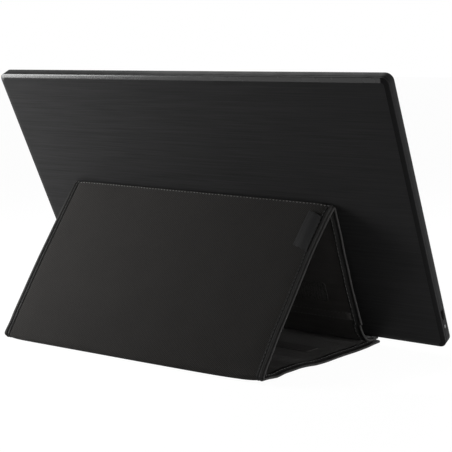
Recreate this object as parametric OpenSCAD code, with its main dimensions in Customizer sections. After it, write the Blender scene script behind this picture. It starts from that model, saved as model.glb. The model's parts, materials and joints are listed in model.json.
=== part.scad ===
// Portable monitor standing on its folded carrying cover.
// Ground is z = 0, the screen faces -Y, X runs along the width.
// The cover is one strip of four panels: floor, rear, front and flap.
// The display stands on the flap and leans on the top fold.

/* [Display] */
// Width of the display
display_w = 382.4; // [360:0.1:420]
// Height of the display along its own face
display_h = 235.4; // [225:0.1:260]
// Thickness of the display
display_t = 9.5; // [9:0.1:12]
// Radius of the display's outer corners
corner_r = 6; // [3:0.5:12]
// Lean of the display back from upright
lean = 26; // [20:1:32]
// Border beside the visible screen
side_border = 19.1; // [17:0.1:24]
// Border above the visible screen
upper_border = 19; // [12:0.1:26]
// Border below the visible screen
lower_border = 22.9; // [21:0.1:26]
// Wall of the display's shells
shell_wall = 1.5; // [1.2:0.1:1.8]
// Depth of the back cover's rim
lid_depth = 2.6; // [2.3:0.1:3]
// Width of the slanted band around the back
bevel_w = 2.4; // [1:0.1:4]
// Depth of the slanted band around the back
bevel_depth = 0.6; // [0.3:0.1:1]
// Chamfer on the front edge of the bezel
front_chamfer = 0.5; // [0.2:0.1:0.9]
// Thickness of the bezel's front face
bezel_t = 1.2; // [0.9:0.1:1.4]
// Depth of the tongue that locates the back cover in the bezel
tongue_depth = 1.4; // [0.8:0.1:1.6]
// Thickness of that tongue
tongue_t = 1; // [0.6:0.1:1.2]

/* [Screen module] */
// Thickness of the glass cell
glass_t = 1; // [0.8:0.1:1.1]
// Thickness of each polariser
polariser_t = 0.25; // [0.2:0.05:0.3]
// Thickness of each light film
film_t = 0.3; // [0.2:0.05:0.35]
// Thickness of the light guide
guide_t = 1; // [0.8:0.1:1.1]
// Thickness of the reflector sheet
reflector_t = 0.2; // [0.1:0.05:0.25]
// Thickness of the module's metal tray
tray_t = 0.4; // [0.3:0.05:0.5]
// Width of the module's frame around the light guide
frame_w = 4.5; // [3.5:0.1:5]
// Reach of the glass past the visible screen
glass_margin = 4; // [3:0.1:4.5]
// Width of each light emitting block
led_w = 3; // [2:0.1:4]
// Pitch of the light emitting blocks
led_pitch = 8; // [6:0.5:12]
// Height of the gap below the light guide that holds the lights
led_gap = 1; // [0.8:0.1:1.2]
// Gap between each end of the driver board and the button board's place
driver_gap = 7; // [1:0.5:18]
// Height of the driver board
driver_h = 9; // [6:0.5:9.5]

/* [Electronics] */
// Length of the main board
board_w = 84; // [60:1:120]
// Height of the main board
board_h = 52; // [48:1:55]
// Height of the main board's lower edge above the display's lower edge
board_low = 10; // [9:0.5:12]
// Thickness of all circuit boards
board_t = 1; // [0.8:0.05:1]
// Height of the posts that carry the main board
post_h = 1.1; // [1:0.05:1.3]
// Height of the port's middle above the display's lower edge
port_up = 28.9; // [26:0.1:34]
// Depth of the port's middle from the back
port_depth = 5.3; // [5.2:0.05:5.5]
// Length of the port's mouth
port_h = 9; // [8.6:0.1:9.6]
// Width of the port's mouth
port_w = 3.2; // [2.8:0.1:3.2]
// Height of the status light above the display's lower edge
light_up = 17.7; // [16:0.1:19]
// Length of the status light
light_h = 3.2; // [2:0.1:3.4]
// Width of the status light
light_w = 2.2; // [1.5:0.1:2.4]
// Distance of the menu button from the display's right edge
button_in = 33.2; // [20:0.1:80]
// Height of the menu button above the display's lower edge
button_up = 8.6; // [7.5:0.1:9.5]
// Radius of the menu button
button_r = 2.2; // [1.6:0.1:2.4]
// Travel of the menu button
button_travel = 0.5; // [0.3:0.05:0.6]
// Radius of the screw shanks
screw_r = 0.8; // [0.7:0.05:1]
// Distance of the screen cable from the main board's end
cable_in = 22; // [14:0.5:40]
// Width of the flat cables
cable_w = 12; // [8:0.5:16]
// Thickness of the flat cables
cable_t = 0.3; // [0.2:0.05:0.4]

/* [Cover] */
// Width of the cover along X
cover_w = 263.8; // [230:0.1:290]
// Shift of the cover's middle along X
cover_shift = 7.8; // [-20:0.1:20]
// Length of the rear panel from fold to fold
rear_len = 148.3; // [140:0.1:156]
// Slope of the rear panel above the ground
rear_slope = 51.3; // [48:0.1:55]
// Length of the front panel below the top fold
front_len = 88; // [80:0.5:94]
// How much steeper the front panel stands than the display
front_steeper = 5.2; // [4:0.1:8]
// Reach of the ledge past the display's lower front edge
ledge_reach = 4.2; // [3:0.1:12]
// Thickness of the outer fabric
fabric_t = 0.8; // [0.5:0.1:1.2]
// Thickness of the lining
lining_t = 0.8; // [0.5:0.1:1.2]
// Thickness of the stiffening boards
stiff_t = 1.6; // [1.2:0.1:2]
// Thickness of the flap's stiffener
flap_stiff_t = 0.8; // [0.6:0.1:1.6]
// Width of the edge binding
binding_w = 7; // [5:0.1:9]
// Thickness of the binding where it wraps the edge
binding_t = 0.8; // [0.5:0.1:1.2]
// Overlap of the fabric on its own hem
hem_lap = 1; // [0.6:0.1:2]
// Width of the label tab
label_w = 13.5; // [8:0.5:20]
// Length of the label tab
label_h = 33; // [20:0.5:45]
// Thickness of the label tab
label_t = 0.6; // [0.3:0.1:1]
// Distance of the label tab from the top fold
label_down = 7; // [4:0.5:20]
// Length of each closing patch along X
patch_len = 60; // [30:1:90]
// Width of each closing patch
patch_w = 17; // [10:0.5:20]
// Thickness of the closing patches
patch_t = 0.8; // [0.4:0.1:1.2]
// Distance of the patches from the cover's side edges
patch_in = 24; // [12:0.5:34]
// Distance of the floor patches from the rear fold
floor_patch_at = 91; // [60:1:110]

/* [Fits] */
// Gap between the display and what it rests on
seat_gap = 0.2; // [0.15:0.05:0.4]
// Gap between the floor panel and the flap above it
layer_gap = 0.3; // [0.2:0.05:0.6]
// Distance of each panel's end from its fold line
fold_gap = 0.8; // [0.6:0.1:1.2]
// Gap between a fold's skin and the panels beside it
skin_gap = 0.3; // [0.2:0.05:0.4]
// Clearance around pieces that drop into the shells
fit = 0.1; // [0.05:0.05:0.2]

/* [Hidden] */
$fn = 32;

// Thickness of the panels and of the flap
panel_t = fabric_t + stiff_t + lining_t;
flap_t = fabric_t + flap_stiff_t + lining_t;
front_slope = 90 - lean + front_steeper;

// Start of the flat ledge ahead of the display's lower back edge
ledge_back = 1.5;

// Places in the side view are [forward, up], measured from the rear fold line
ledge_top = panel_t + layer_gap + flap_t;
rear_line = [0, panel_t];
top_line = rear_line + rear_len * [cos(rear_slope), sin(rear_slope)];
display_up = ledge_top + seat_gap;
display_at = top_line[0]
    + (panel_t + seat_gap + (top_line[1] - display_up) * sin(lean)) / cos(lean);
flap_end = display_at + display_t * cos(lean) + ledge_reach;
flap_start = display_at + ledge_back;
floor_len = flap_end;
depth = flap_end + panel_t;

// Soft curve between the front panel and the flap, as a cubic with two handles
upper_handle = 19;
lower_handle = 13.5;
curve_steps = 16;
front_down = [cos(front_slope), -sin(front_slope)];
front_out = [sin(front_slope), cos(front_slope)];
curve_top = top_line + front_len * front_down + panel_t * front_out;
curve_points = [
    curve_top, curve_top + upper_handle * front_down,
    [flap_start - lower_handle, ledge_top], [flap_start, ledge_top]
];

// Cover edges along X
edge_lo = cover_shift - cover_w / 2;
edge_hi = cover_shift + cover_w / 2;

// Depths inside the display, measured from its back face
front_inner = display_t - bezel_t;
glass_back = front_inner - polariser_t - glass_t;
rear_polariser_back = glass_back - polariser_t;
prism_back = rear_polariser_back - film_t;
diffuser_back = prism_back - film_t;
guide_back = diffuser_back - guide_t;
reflector_back = guide_back - reflector_t;
tray_back = reflector_back - tray_t;
tray_lip = glass_back;
board_back = shell_wall + post_h;
board_front = board_back + board_t;

// Outlines inside the display. Each less value is how much smaller one sheet is than the next
guide_less = [3, 5];
polariser_less = 2;
film_less = 1;
screen_w = display_w - 2 * side_border;
screen_h = display_h - lower_border - upper_border;
screen_mid = lower_border + screen_h / 2;
glass_w = screen_w + 2 * glass_margin;
glass_h = screen_h + 2 * glass_margin;
guide_w = glass_w - guide_less[0];
guide_h = glass_h - guide_less[1];
guide_low = screen_mid - guide_h / 2;
module_w = guide_w + 2 * frame_w;
module_h = guide_h + led_gap + frame_w * 2;
module_mid = screen_mid - led_gap / 2;
tray_w = module_w + 2 * fit + 2 * tray_t;
tray_h = module_h + 2 * fit + 2 * tray_t;
inner_w = display_w - 2 * shell_wall;
inner_h = display_h - 2 * shell_wall;

// Mounting ears of the module and the bezel bosses under them, at shares of the height
ear_x = (tray_w / 2 + inner_w / 2) / 2;
ear_w = 2 * (ear_x - tray_w / 2) - 2 * fit;
ear_h = 9;
ear_root = fit + tray_t;
ear_clear = 1;
ears_up = [0.33, 0.86] * display_h;
boss_r = min(2.3, ear_w / 2);
boss_roof = 0.5;
head_r = 1.75;
head_t = 0.7;
thread_gap = 0.05;
shank_clear = 0.2;
module_screw_len = 2.6;

// Main board's outline and screws
board_x = -inner_w / 2 + tongue_t + 2 * fit;
board_screw_in = 4;
port_room = 9;
cable_room = 8;
board_screw_at = [
    for (x = [board_x + port_room + board_screw_in, board_x + board_w - board_screw_in])
    for (z = [board_low + cable_room + board_screw_in, board_low + board_h - board_screw_in])
        [x, z]
];
post_r = 2;
// Chips on the main board: [along, up, side]
chips = [[30, 30, 12], [50, 34, 9], [66, 24, 8], [34, 14, 6]];
chip_t = min(0.8, tray_back - board_front - fit);
port_len = 8;
port_wall = 0.3;
port_in = 0.3;
port_tongue_in = 1.6;
port_tongue = [-0.5, 0.3];
port_base = 1;
light_len = shell_wall + 2;
light_source = 2;
slot_past = 3;
slot_fit = 2 * fit;

// Flat cables: how far they lap onto the boards and how close they turn
screen_lap = 4;
screen_turn = 1.5;
button_cable_w = 3;
button_lap = 3;
button_cable_in = 5;
button_cable_past = 4;

// Foam pads behind the module: shares of the width and height, and their size
pads_along = [-0.32, 0.32];
pads_up = [0.45, 0.85];
pad_size = [60, 10];

// Menu button and its switch
button_x = display_w / 2 - button_in;
button_proud = 0.3;
flange_t = 0.7;
flange_r = button_r + 0.8;
flange_front = front_inner - fit;
switch_gap = 0.05;
switch_top = flange_front - flange_t - button_travel - switch_gap;
switch_size = 3.6;
switch_t = 0.9;
plunger_t = 0.3;
button_board_front = switch_top - plunger_t - switch_t;
button_board_w = 22;
button_board_h = 8;
button_post_r = 1.5;
button_post_in = 0.5;
button_post_at = button_board_w / 2 - button_post_r - button_post_in;

// Driver board on its ribs along the lower edge
driver_rib_h = 1.5;
driver_clear = 2;
driver_rib_w = 3;
driver_ribs_at = [-0.4, 0, 0.4];
driver_w = 2 * (button_x - button_board_w / 2 - driver_gap);
driver_front = front_inner - driver_rib_h;
driver_up = shell_wall + driver_clear;

charcoal = [0.11, 0.11, 0.12];
black_plastic = [0.07, 0.07, 0.075];
fabric_colour = [0.13, 0.125, 0.12];
leather_colour = [0.09, 0.088, 0.085];
board_green = [0.05, 0.22, 0.12];

function bezier(p, t) =
    pow(1 - t, 3) * p[0] + 3 * t * pow(1 - t, 2) * p[1]
    + 3 * t * t * (1 - t) * p[2] + pow(t, 3) * p[3];
function bezier_way(p, t) =
    3 * pow(1 - t, 2) * (p[1] - p[0]) + 6 * t * (1 - t) * (p[2] - p[1])
    + 3 * t * t * (p[3] - p[2]);
function lower_side(v) = [v[1], -v[0]] / norm(v);
function fold_arc(radius, from, to, steps = 12) =
    [for (i = [0:steps]) let (a = from + (to - from) * i / steps) radius * [cos(a), sin(a)]];

// Side-view place [forward, up] as a place in the frame
module at(place) translate([0, depth / 2 - panel_t - place[0], place[1]]) children();

// Extrudes a side-view outline [forward, up] across the cover's width
module across(x_lo = edge_lo, x_hi = edge_hi)
    translate([x_lo, depth / 2 - panel_t, 0]) rotate([90, 0, 90])
        linear_extrude(x_hi - x_lo) mirror([1, 0]) children();

// Frame of a panel: y along the strip, z out of its fabric side
module panel_frame(place, turn) at(place) rotate([turn, 0, 0]) children();
module on_flap() panel_frame([flap_start, ledge_top - flap_t], 0) children();
module on_front() panel_frame(top_line, front_slope) children();
module on_rear() panel_frame(top_line, -rear_slope) children();
module on_floor() panel_frame(rear_line, 180) children();

module slab(x, y, z) translate([x[0], y[0], z[0]]) cube([x[1] - x[0], y[1] - y[0], z[1] - z[0]]);

// One layer of a panel. Ends named in bound are wrapped by binding, and the others meet a fold.
// inset runs in from the bound edges; past moves the open ends out for clean cuts
module layer(y, z, bound, inset, past = 0)
    slab([edge_lo + inset, edge_hi - inset],
        [y[0] + (bound[0] ? inset : -past), y[1] - (bound[1] ? inset : -past)], z);

module hem(y, z, bound) difference() {
    layer(y, z, bound, binding_t);
    layer(y, [z[0] - 1, z[1] + 1], bound, binding_w + hem_lap, 1);
}
module fabric_layer(y, core_t, bound) union() {
    top = lining_t + core_t;
    layer(y, [top, top + fabric_t], bound, binding_w);
    hem(y, [top - core_t / 2, top], bound);
}
module lining_layer(y, core_t, bound) union() {
    layer(y, [0, lining_t], bound, binding_w);
    hem(y, [lining_t, lining_t + core_t / 2], bound);
}
module stiff_layer(y, core_t, bound)
    layer(y, [lining_t, lining_t + core_t], bound, binding_w + hem_lap);
module binding_layer(y, core_t, bound) difference() {
    total = lining_t + core_t + fabric_t;
    layer(y, [0, total], bound, 0);
    layer(y, [-1, total + 1], bound, binding_w, 1);
    layer(y, [lining_t, total - fabric_t], bound, binding_t, 1);
}

flap_y = [flap_start - flap_end, -skin_gap];
front_y = [-front_len, -fold_gap];
rear_y = [fold_gap, rear_len - fold_gap];
floor_y = [fold_gap, floor_len];
FREE_START = [true, false];
FREE_END = [false, true];
OPEN_ENDS = [false, false];

module flap_fabric() color(fabric_colour) on_flap() fabric_layer(flap_y, flap_stiff_t, FREE_START);
module flap_stiffener() color("dimgray") on_flap() stiff_layer(flap_y, flap_stiff_t, FREE_START);
module flap_lining() color(leather_colour) on_flap() lining_layer(flap_y, flap_stiff_t, FREE_START);
module flap_binding() color(leather_colour) on_flap() binding_layer(flap_y, flap_stiff_t, FREE_START);

module front_panel_fabric() color(fabric_colour) on_front() fabric_layer(front_y, stiff_t, OPEN_ENDS);
module front_panel_stiffener() color("dimgray") on_front() stiff_layer(front_y, stiff_t, OPEN_ENDS);
module front_panel_lining() color(leather_colour) on_front() lining_layer(front_y, stiff_t, OPEN_ENDS);
module front_panel_binding() color(leather_colour) on_front() binding_layer(front_y, stiff_t, OPEN_ENDS);

module rear_panel_fabric() color(fabric_colour) on_rear() fabric_layer(rear_y, stiff_t, OPEN_ENDS);
module rear_panel_stiffener() color("dimgray") on_rear() stiff_layer(rear_y, stiff_t, OPEN_ENDS);
module rear_panel_lining() color(leather_colour) on_rear() lining_layer(rear_y, stiff_t, OPEN_ENDS);
module rear_panel_binding() color(leather_colour) on_rear() binding_layer(rear_y, stiff_t, OPEN_ENDS);

module floor_panel_fabric() color(fabric_colour) on_floor() fabric_layer(floor_y, stiff_t, FREE_END);
module floor_panel_stiffener() color("dimgray") on_floor() stiff_layer(floor_y, stiff_t, FREE_END);
module floor_panel_lining() color(leather_colour) on_floor() lining_layer(floor_y, stiff_t, FREE_END);
module floor_panel_binding() color(leather_colour) on_floor() binding_layer(floor_y, stiff_t, FREE_END);

// Skin that turns round a fold line, with a short leg towards each panel
module fold_skin(place, from, to) {
    leg = fold_gap - skin_gap;
    inner = panel_t - fabric_t;
    side = function (r, a, s) r * [cos(a), sin(a)] + s * leg * [sin(a), -cos(a)];
    at(place) translate([edge_lo, 0, 0]) rotate([90, 0, 90]) linear_extrude(cover_w)
        polygon(concat(
            [side(panel_t, from, 1)], fold_arc(panel_t, from, to), [side(panel_t, to, -1)],
            [side(inner, to, -1)], fold_arc(inner, to, from), [side(inner, from, 1)]
        ));
}
module top_fold() color(fabric_colour) fold_skin(top_line, 90 - rear_slope, 90 + front_slope);
module rear_fold() color(fabric_colour) fold_skin(rear_line, -90, 90 - rear_slope);

// Soft lower end of the front panel that curves into the flap
module front_fold() color(leather_colour) {
    upper = [for (i = [0:curve_steps]) bezier(curve_points, i / curve_steps)];
    lower = [for (i = [curve_steps:-1:0]) let (t = i / curve_steps)
        bezier(curve_points, t)
        + lower_side(bezier_way(curve_points, t)) * (panel_t + (flap_t - panel_t) * t)];
    across() polygon(concat(upper, lower));
}

module label_tab() color([0.2, 0.2, 0.2]) on_rear()
    slab([edge_lo + binding_w, edge_lo + binding_w + label_w],
        [label_down, label_down + label_h], [panel_t, panel_t + label_t]);

module patch_pair(y) for (x = [edge_lo + patch_in, edge_hi - patch_in - patch_len])
    slab([x, x + patch_len], y, [-patch_t, 0]);
module hook_patches() color([0.05, 0.05, 0.05]) on_front()
    patch_pair([1 - front_len, 1 - front_len + patch_w]);
module loop_patches() color([0.08, 0.08, 0.08]) on_floor()
    patch_pair([floor_patch_at, floor_patch_at + patch_w]);

// Frame of the display: x along its width, y out of its back, z up its face from the lower edge
module display_frame() at([display_at, display_up]) rotate([-lean, 0, 0]) children();

// Block between two depths from the back face, and a ring-shaped one
module block(x, z, d) translate([x[0], -d[1], z[0]]) cube([x[1] - x[0], d[1] - d[0], z[1] - z[0]]);
module plate(w, h, mid, d) block([-w / 2, w / 2], [mid - h / 2, mid + h / 2], d);
module ring(w, h, wall, mid, d) difference() {
    plate(w, h, mid, d);
    plate(w - 2 * wall, h - 2 * wall, mid, [d[0] - 1, d[1] + 1]);
}
module peg(x, z, r, d) translate([x, -d[0], z]) rotate([90, 0, 0]) cylinder(r = r, h = d[1] - d[0]);

// Display outline with round corners, drawn in from the edge, between two depths
module outline(inset, d) translate([0, -d[0], display_h / 2]) rotate([90, 0, 0])
    linear_extrude(d[1] - d[0]) rounded(display_w - 2 * inset, display_h - 2 * inset,
        max(corner_r - inset, 0.5));
module rounded(w, h, r) union() {
    square([w - 2 * r, h], center = true);
    square([w, h - 2 * r], center = true);
    for (x = [-1, 1], y = [-1, 1]) translate([x * (w / 2 - r), y * (h / 2 - r)]) circle(r);
}
sliver = 0.01;

module back_cover() color(charcoal) display_frame() {
    difference() {
        union() {
            hull() {
                outline(bevel_w, [0, sliver]);
                outline(0, [bevel_depth - sliver, bevel_depth]);
            }
            outline(0, [bevel_depth, lid_depth]);
            outline(shell_wall + fit, [lid_depth - sliver, lid_depth + tongue_depth]);
        }
        outline(shell_wall + fit + tongue_t, [shell_wall, lid_depth + tongue_depth + 1]);
        port_cut(tongue_t + slot_past);
        light_cut(tongue_t + slot_past);
        for (x = [-1, 1], z = ears_up)
            block([x * ear_x - ear_w / 2 - ear_clear, x * ear_x + ear_w / 2 + ear_clear],
                [z - ear_h / 2 - ear_clear, z + ear_h / 2 + ear_clear],
                [lid_depth, lid_depth + tongue_depth + 1]);
    }
    difference() {
        for (p = board_screw_at) peg(p[0], p[1], post_r, [shell_wall - sliver, board_back]);
        for (p = board_screw_at) peg(p[0], p[1], screw_r + thread_gap, [shell_wall, board_back + 1]);
    }
}

// Slots through the side wall for the port and the status light
module side_slot(up, h, w, inward) block(
    [-display_w / 2 - 1, -display_w / 2 + shell_wall + inward],
    [up - h / 2 - slot_fit, up + h / 2 + slot_fit],
    [port_depth - w / 2 - slot_fit, port_depth + w / 2 + slot_fit]);
module port_cut(inward = 1) side_slot(port_up, port_h, port_w, inward);
module light_cut(inward = 1) side_slot(light_up, light_h, light_w, inward);

module front_bezel() color(black_plastic) display_frame() {
    difference() {
        union() {
            outline(0, [lid_depth, display_t - front_chamfer]);
            hull() {
                outline(0, [display_t - front_chamfer - sliver, display_t - front_chamfer]);
                outline(front_chamfer, [display_t - sliver, display_t]);
            }
        }
        outline(shell_wall, [lid_depth - 1, front_inner]);
        plate(screen_w, screen_h, screen_mid, [0, display_t + 1]);
        port_cut();
        light_cut();
        peg(button_x, button_up, button_r + fit, [0, display_t + 1]);
    }
    for (x = [-1, 1], z = ears_up) difference() {
        peg(x * ear_x, z, boss_r, [tray_back + tray_t, front_inner + sliver]);
        peg(x * ear_x, z, screw_r + thread_gap, [0, front_inner - boss_roof]);
    }
    for (x = driver_ribs_at * driver_w)
        block([x - driver_rib_w / 2, x + driver_rib_w / 2], [driver_up, driver_up + driver_h],
            [driver_front, front_inner + sliver]);
    for (x = [-1, 1]) peg(button_x + x * button_post_at, button_up, button_post_r,
        [button_board_front, front_inner + sliver]);
}

module front_polariser() color([0.03, 0.03, 0.035]) display_frame()
    plate(glass_w - polariser_less, glass_h - polariser_less, screen_mid,
        [front_inner - polariser_t, front_inner]);
module glass_cell() color([0.1, 0.12, 0.14]) display_frame()
    plate(glass_w, glass_h, screen_mid, [glass_back, glass_back + glass_t]);
module rear_polariser() color([0.05, 0.05, 0.06]) display_frame()
    plate(guide_w, guide_h, screen_mid, [rear_polariser_back, glass_back]);
module prism_sheet() color([0.85, 0.87, 0.9]) display_frame()
    plate(guide_w - film_less, guide_h - film_less, screen_mid, [prism_back, rear_polariser_back]);
module diffuser_sheet() color([0.92, 0.92, 0.92]) display_frame()
    plate(guide_w - film_less, guide_h - film_less, screen_mid, [diffuser_back, prism_back]);
module light_guide() color([0.8, 0.9, 0.95]) display_frame()
    plate(guide_w, guide_h, screen_mid, [guide_back, diffuser_back]);
module reflector_sheet() color([0.97, 0.97, 0.97]) display_frame()
    plate(guide_w, guide_h, screen_mid, [reflector_back, guide_back]);

// Row of lights under the lower edge of the light guide
module led_bar() color([0.95, 0.93, 0.8]) display_frame() {
    base_t = led_gap * 0.4;
    count = floor((guide_w - led_w) / led_pitch / 2);
    block([-guide_w / 2, guide_w / 2], [guide_low - led_gap, guide_low - led_gap + base_t],
        [guide_back, diffuser_back]);
    for (i = [-count:count])
        block([i * led_pitch - led_w / 2, i * led_pitch + led_w / 2],
            [guide_low - led_gap, guide_low], [guide_back + fit, diffuser_back - fit]);
}

module module_frame() color([0.9, 0.9, 0.88]) display_frame() {
    difference() {
        plate(module_w, module_h, module_mid, [reflector_back, glass_back + glass_t]);
        block([-guide_w / 2, guide_w / 2], [guide_low - led_gap, guide_low + guide_h],
            [0, display_t]);
        plate(glass_w + 2 * fit, glass_h + 2 * fit, screen_mid, [glass_back, display_t]);
    }
}
module module_tray() color([0.65, 0.66, 0.68]) display_frame() {
    plate(tray_w, tray_h, module_mid, [tray_back, reflector_back]);
    ring(tray_w, tray_h, tray_t, module_mid, [reflector_back - sliver, tray_lip]);
    for (x = [-1, 1], z = ears_up) difference() {
        block([x * ear_x - ear_w / 2 - (x > 0 ? ear_root : 0),
            x * ear_x + ear_w / 2 + (x < 0 ? ear_root : 0)],
            [z - ear_h / 2, z + ear_h / 2], [tray_back, reflector_back]);
        peg(x * ear_x, z, screw_r + shank_clear, [0, display_t]);
    }
}

// Pan-head screw with its head on the back side of what it holds
module screw(x, z, seat, length) {
    peg(x, z, head_r, [seat - head_t, seat]);
    peg(x, z, screw_r, [seat - sliver, seat + length]);
}
module module_screws() color("silver") display_frame()
    for (x = [-1, 1], z = ears_up) screw(x * ear_x, z, tray_back, module_screw_len);
module board_screws() color("silver") display_frame()
    for (p = board_screw_at) {
        peg(p[0], p[1], head_r, [board_front, board_front + head_t]);
        peg(p[0], p[1], screw_r, [shell_wall + shank_clear, board_front + sliver]);
    }

module foam_pads() color([0.2, 0.2, 0.22]) display_frame()
    for (x = pads_along * display_w, z = pads_up * display_h)
        block([x - pad_size[0] / 2, x + pad_size[0] / 2], [z - pad_size[1] / 2, z + pad_size[1] / 2],
            [shell_wall, tray_back]);

module driver_board() color(board_green) display_frame()
    block([-driver_w / 2, driver_w / 2], [driver_up, driver_up + driver_h],
        [driver_front - board_t, driver_front]);

module main_board() color(board_green) display_frame() difference() {
    block([board_x, board_x + board_w], [board_low, board_low + board_h], [board_back, board_front]);
    for (p = board_screw_at) peg(p[0], p[1], screw_r + shank_clear, [0, display_t]);
}
module board_chips() color([0.04, 0.04, 0.05]) display_frame() {
    for (c = chips)
        block([board_x + c[0], board_x + c[0] + c[2]], [board_low + c[1] - c[2] / 2,
            board_low + c[1] + c[2] / 2], [board_front, board_front + chip_t]);
    block([-display_w / 2 + light_len + slot_fit, -display_w / 2 + light_len + light_source],
        [light_up - light_source / 2, light_up + light_source / 2],
        [board_front, port_depth + light_w / 2]);
}

module usb_port() color([0.75, 0.76, 0.78]) display_frame() {
    x0 = -display_w / 2 + port_in;
    z = [port_up - port_h / 2, port_up + port_h / 2];
    d = [board_front, port_depth + port_w / 2];
    difference() {
        block([x0, x0 + port_len], z, d);
        block([x0 - 1, x0 + port_len - port_base], z + [port_wall, -port_wall], d + [port_wall, -port_wall]);
    }
    block([x0 + port_base, x0 + port_len], z + [port_tongue_in, -port_tongue_in],
        [port_depth, port_depth] + port_tongue);
}

module light_window() color([0.95, 0.97, 1]) display_frame()
    block([-display_w / 2, -display_w / 2 + light_len], [light_up - light_h / 2, light_up + light_h / 2],
        [port_depth - light_w / 2, port_depth + light_w / 2]);

// Flat cable from the main board round the module's lower edge to the driver board
module screen_cable() color([0.75, 0.6, 0.3]) display_frame() {
    x = board_x + board_w - cable_in;
    turn = board_low - screen_turn;
    driver_back = driver_front - board_t;
    block([x, x + cable_w], [turn, board_low + screen_lap], [board_front, board_front + cable_t]);
    block([x, x + cable_w], [turn, turn + cable_t], [board_front, driver_back]);
    block([x, x + cable_w], [turn - screen_lap, turn + cable_t], [driver_back - cable_t, driver_back]);
}
// Flat cable along the inside of the back cover, with a riser at each end
module button_cable() color([0.75, 0.6, 0.3]) display_frame() {
    z = [button_up - button_cable_w / 2, button_up + button_cable_w / 2];
    x0 = board_x + board_w - button_cable_in;
    x1 = button_x + button_cable_past;
    riser = [board_low, board_low + button_lap];
    block([x0 - button_lap, x0 + cable_t], riser, [board_back - cable_t, board_back]);
    block([x0, x0 + cable_t], [z[0], riser[1]], [shell_wall, board_back]);
    block([x0, x1], z, [shell_wall, shell_wall + cable_t]);
    block([x1 - cable_t, x1], z, [shell_wall, button_board_front - board_t]);
}
module button_board() color(board_green) display_frame()
    block([button_x - button_board_w / 2, button_x + button_board_w / 2],
        [button_up - button_board_h / 2, button_up + button_board_h / 2],
        [button_board_front - board_t, button_board_front]);
module tact_switch() color([0.15, 0.15, 0.16]) display_frame() {
    block([button_x - switch_size / 2, button_x + switch_size / 2],
        [button_up - switch_size / 2, button_up + switch_size / 2],
        [button_board_front, button_board_front + switch_t]);
    peg(button_x, button_up, switch_size / 4, [button_board_front + switch_t - sliver, switch_top]);
}
module menu_button() color([0.12, 0.12, 0.13]) display_frame() {
    peg(button_x, button_up, flange_r, [flange_front - flange_t, flange_front]);
    peg(button_x, button_up, button_r, [flange_front - sliver, display_t + button_proud]);
}

back_cover();
front_bezel();
front_polariser();
glass_cell();
rear_polariser();
prism_sheet();
diffuser_sheet();
light_guide();
reflector_sheet();
led_bar();
module_frame();
module_tray();
module_screws();
foam_pads();
driver_board();
main_board();
board_chips();
board_screws();
usb_port();
light_window();
screen_cable();
button_cable();
button_board();
tact_switch();
menu_button();
flap_fabric();
flap_stiffener();
flap_lining();
flap_binding();
front_fold();
front_panel_fabric();
front_panel_stiffener();
front_panel_lining();
front_panel_binding();
hook_patches();
top_fold();
rear_panel_fabric();
rear_panel_stiffener();
rear_panel_lining();
rear_panel_binding();
label_tab();
rear_fold();
floor_panel_fabric();
floor_panel_stiffener();
floor_panel_lining();
floor_panel_binding();
loop_patches();
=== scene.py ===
import json
import math

import bmesh
import bpy
import numpy as np
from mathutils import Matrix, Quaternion, Vector, noise


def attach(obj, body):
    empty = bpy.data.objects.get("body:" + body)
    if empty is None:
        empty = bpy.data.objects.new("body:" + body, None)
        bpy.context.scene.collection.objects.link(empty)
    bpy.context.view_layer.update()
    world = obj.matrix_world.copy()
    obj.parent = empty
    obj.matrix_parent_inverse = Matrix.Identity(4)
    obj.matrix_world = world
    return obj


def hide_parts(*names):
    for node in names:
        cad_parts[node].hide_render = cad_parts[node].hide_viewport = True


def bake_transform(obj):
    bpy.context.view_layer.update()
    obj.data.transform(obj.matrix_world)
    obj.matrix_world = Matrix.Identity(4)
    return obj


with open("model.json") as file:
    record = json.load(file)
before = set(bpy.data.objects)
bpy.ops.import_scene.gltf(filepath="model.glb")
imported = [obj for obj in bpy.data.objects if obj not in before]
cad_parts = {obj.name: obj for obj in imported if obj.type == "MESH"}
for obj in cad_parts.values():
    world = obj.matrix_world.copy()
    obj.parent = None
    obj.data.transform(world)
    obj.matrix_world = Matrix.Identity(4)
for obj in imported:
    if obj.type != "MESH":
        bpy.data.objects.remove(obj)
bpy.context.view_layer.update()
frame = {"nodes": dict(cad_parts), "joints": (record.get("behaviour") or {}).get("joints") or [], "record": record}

bl_info = {
    "name": "Portable Monitor with Cover",
    "version": (1, 0, 0),
    "blender": (4, 5, 0),
    "location": "View3D > Sidebar > Monitor",
    "description": "Builds a portable monitor that leans on its folded cover",
    "category": "Add Mesh",
}

MM = 0.001
JOINTS = {j["name"]: j["pos_m"] for j in frame["joints"] if "pos_m" in j}

# Side view, in millimetres: forward from the rear fold line, and up from the ground
FRONT_TO_BACK = JOINTS["rear_fold"][1] / MM
PANEL_T = JOINTS["rear_fold"][2] / MM
REAR_LINE = np.array([0.0, PANEL_T])
TOP_LINE = np.array([FRONT_TO_BACK - JOINTS["top_fold"][1] / MM, JOINTS["top_fold"][2] / MM])
LEAN = math.radians(26)
REAR_SLOPE = math.atan2(*(TOP_LINE - REAR_LINE)[::-1])
REAR_LEN = float(np.linalg.norm(TOP_LINE - REAR_LINE))
FRONT_SLOPE = math.radians(69.2)
FRONT_LEN = 88.0
FLAP_T = 2.4
DISPLAY_T = 9.5
SEAT = 0.2  # room between the display and the cover
FLAP_GAP = 0.3  # room between the flap and the floor panel
LEDGE_TOP = PANEL_T + FLAP_GAP + FLAP_T
DISPLAY_UP = LEDGE_TOP + SEAT
DISPLAY_AT = TOP_LINE[0] + (
    PANEL_T + SEAT + (TOP_LINE[1] - DISPLAY_UP) * math.sin(LEAN)
) / math.cos(LEAN)
FLAP_BEFORE, FLAP_BEYOND = 1.5, 4.2  # from the display's back and front to the flap's ends
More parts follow.
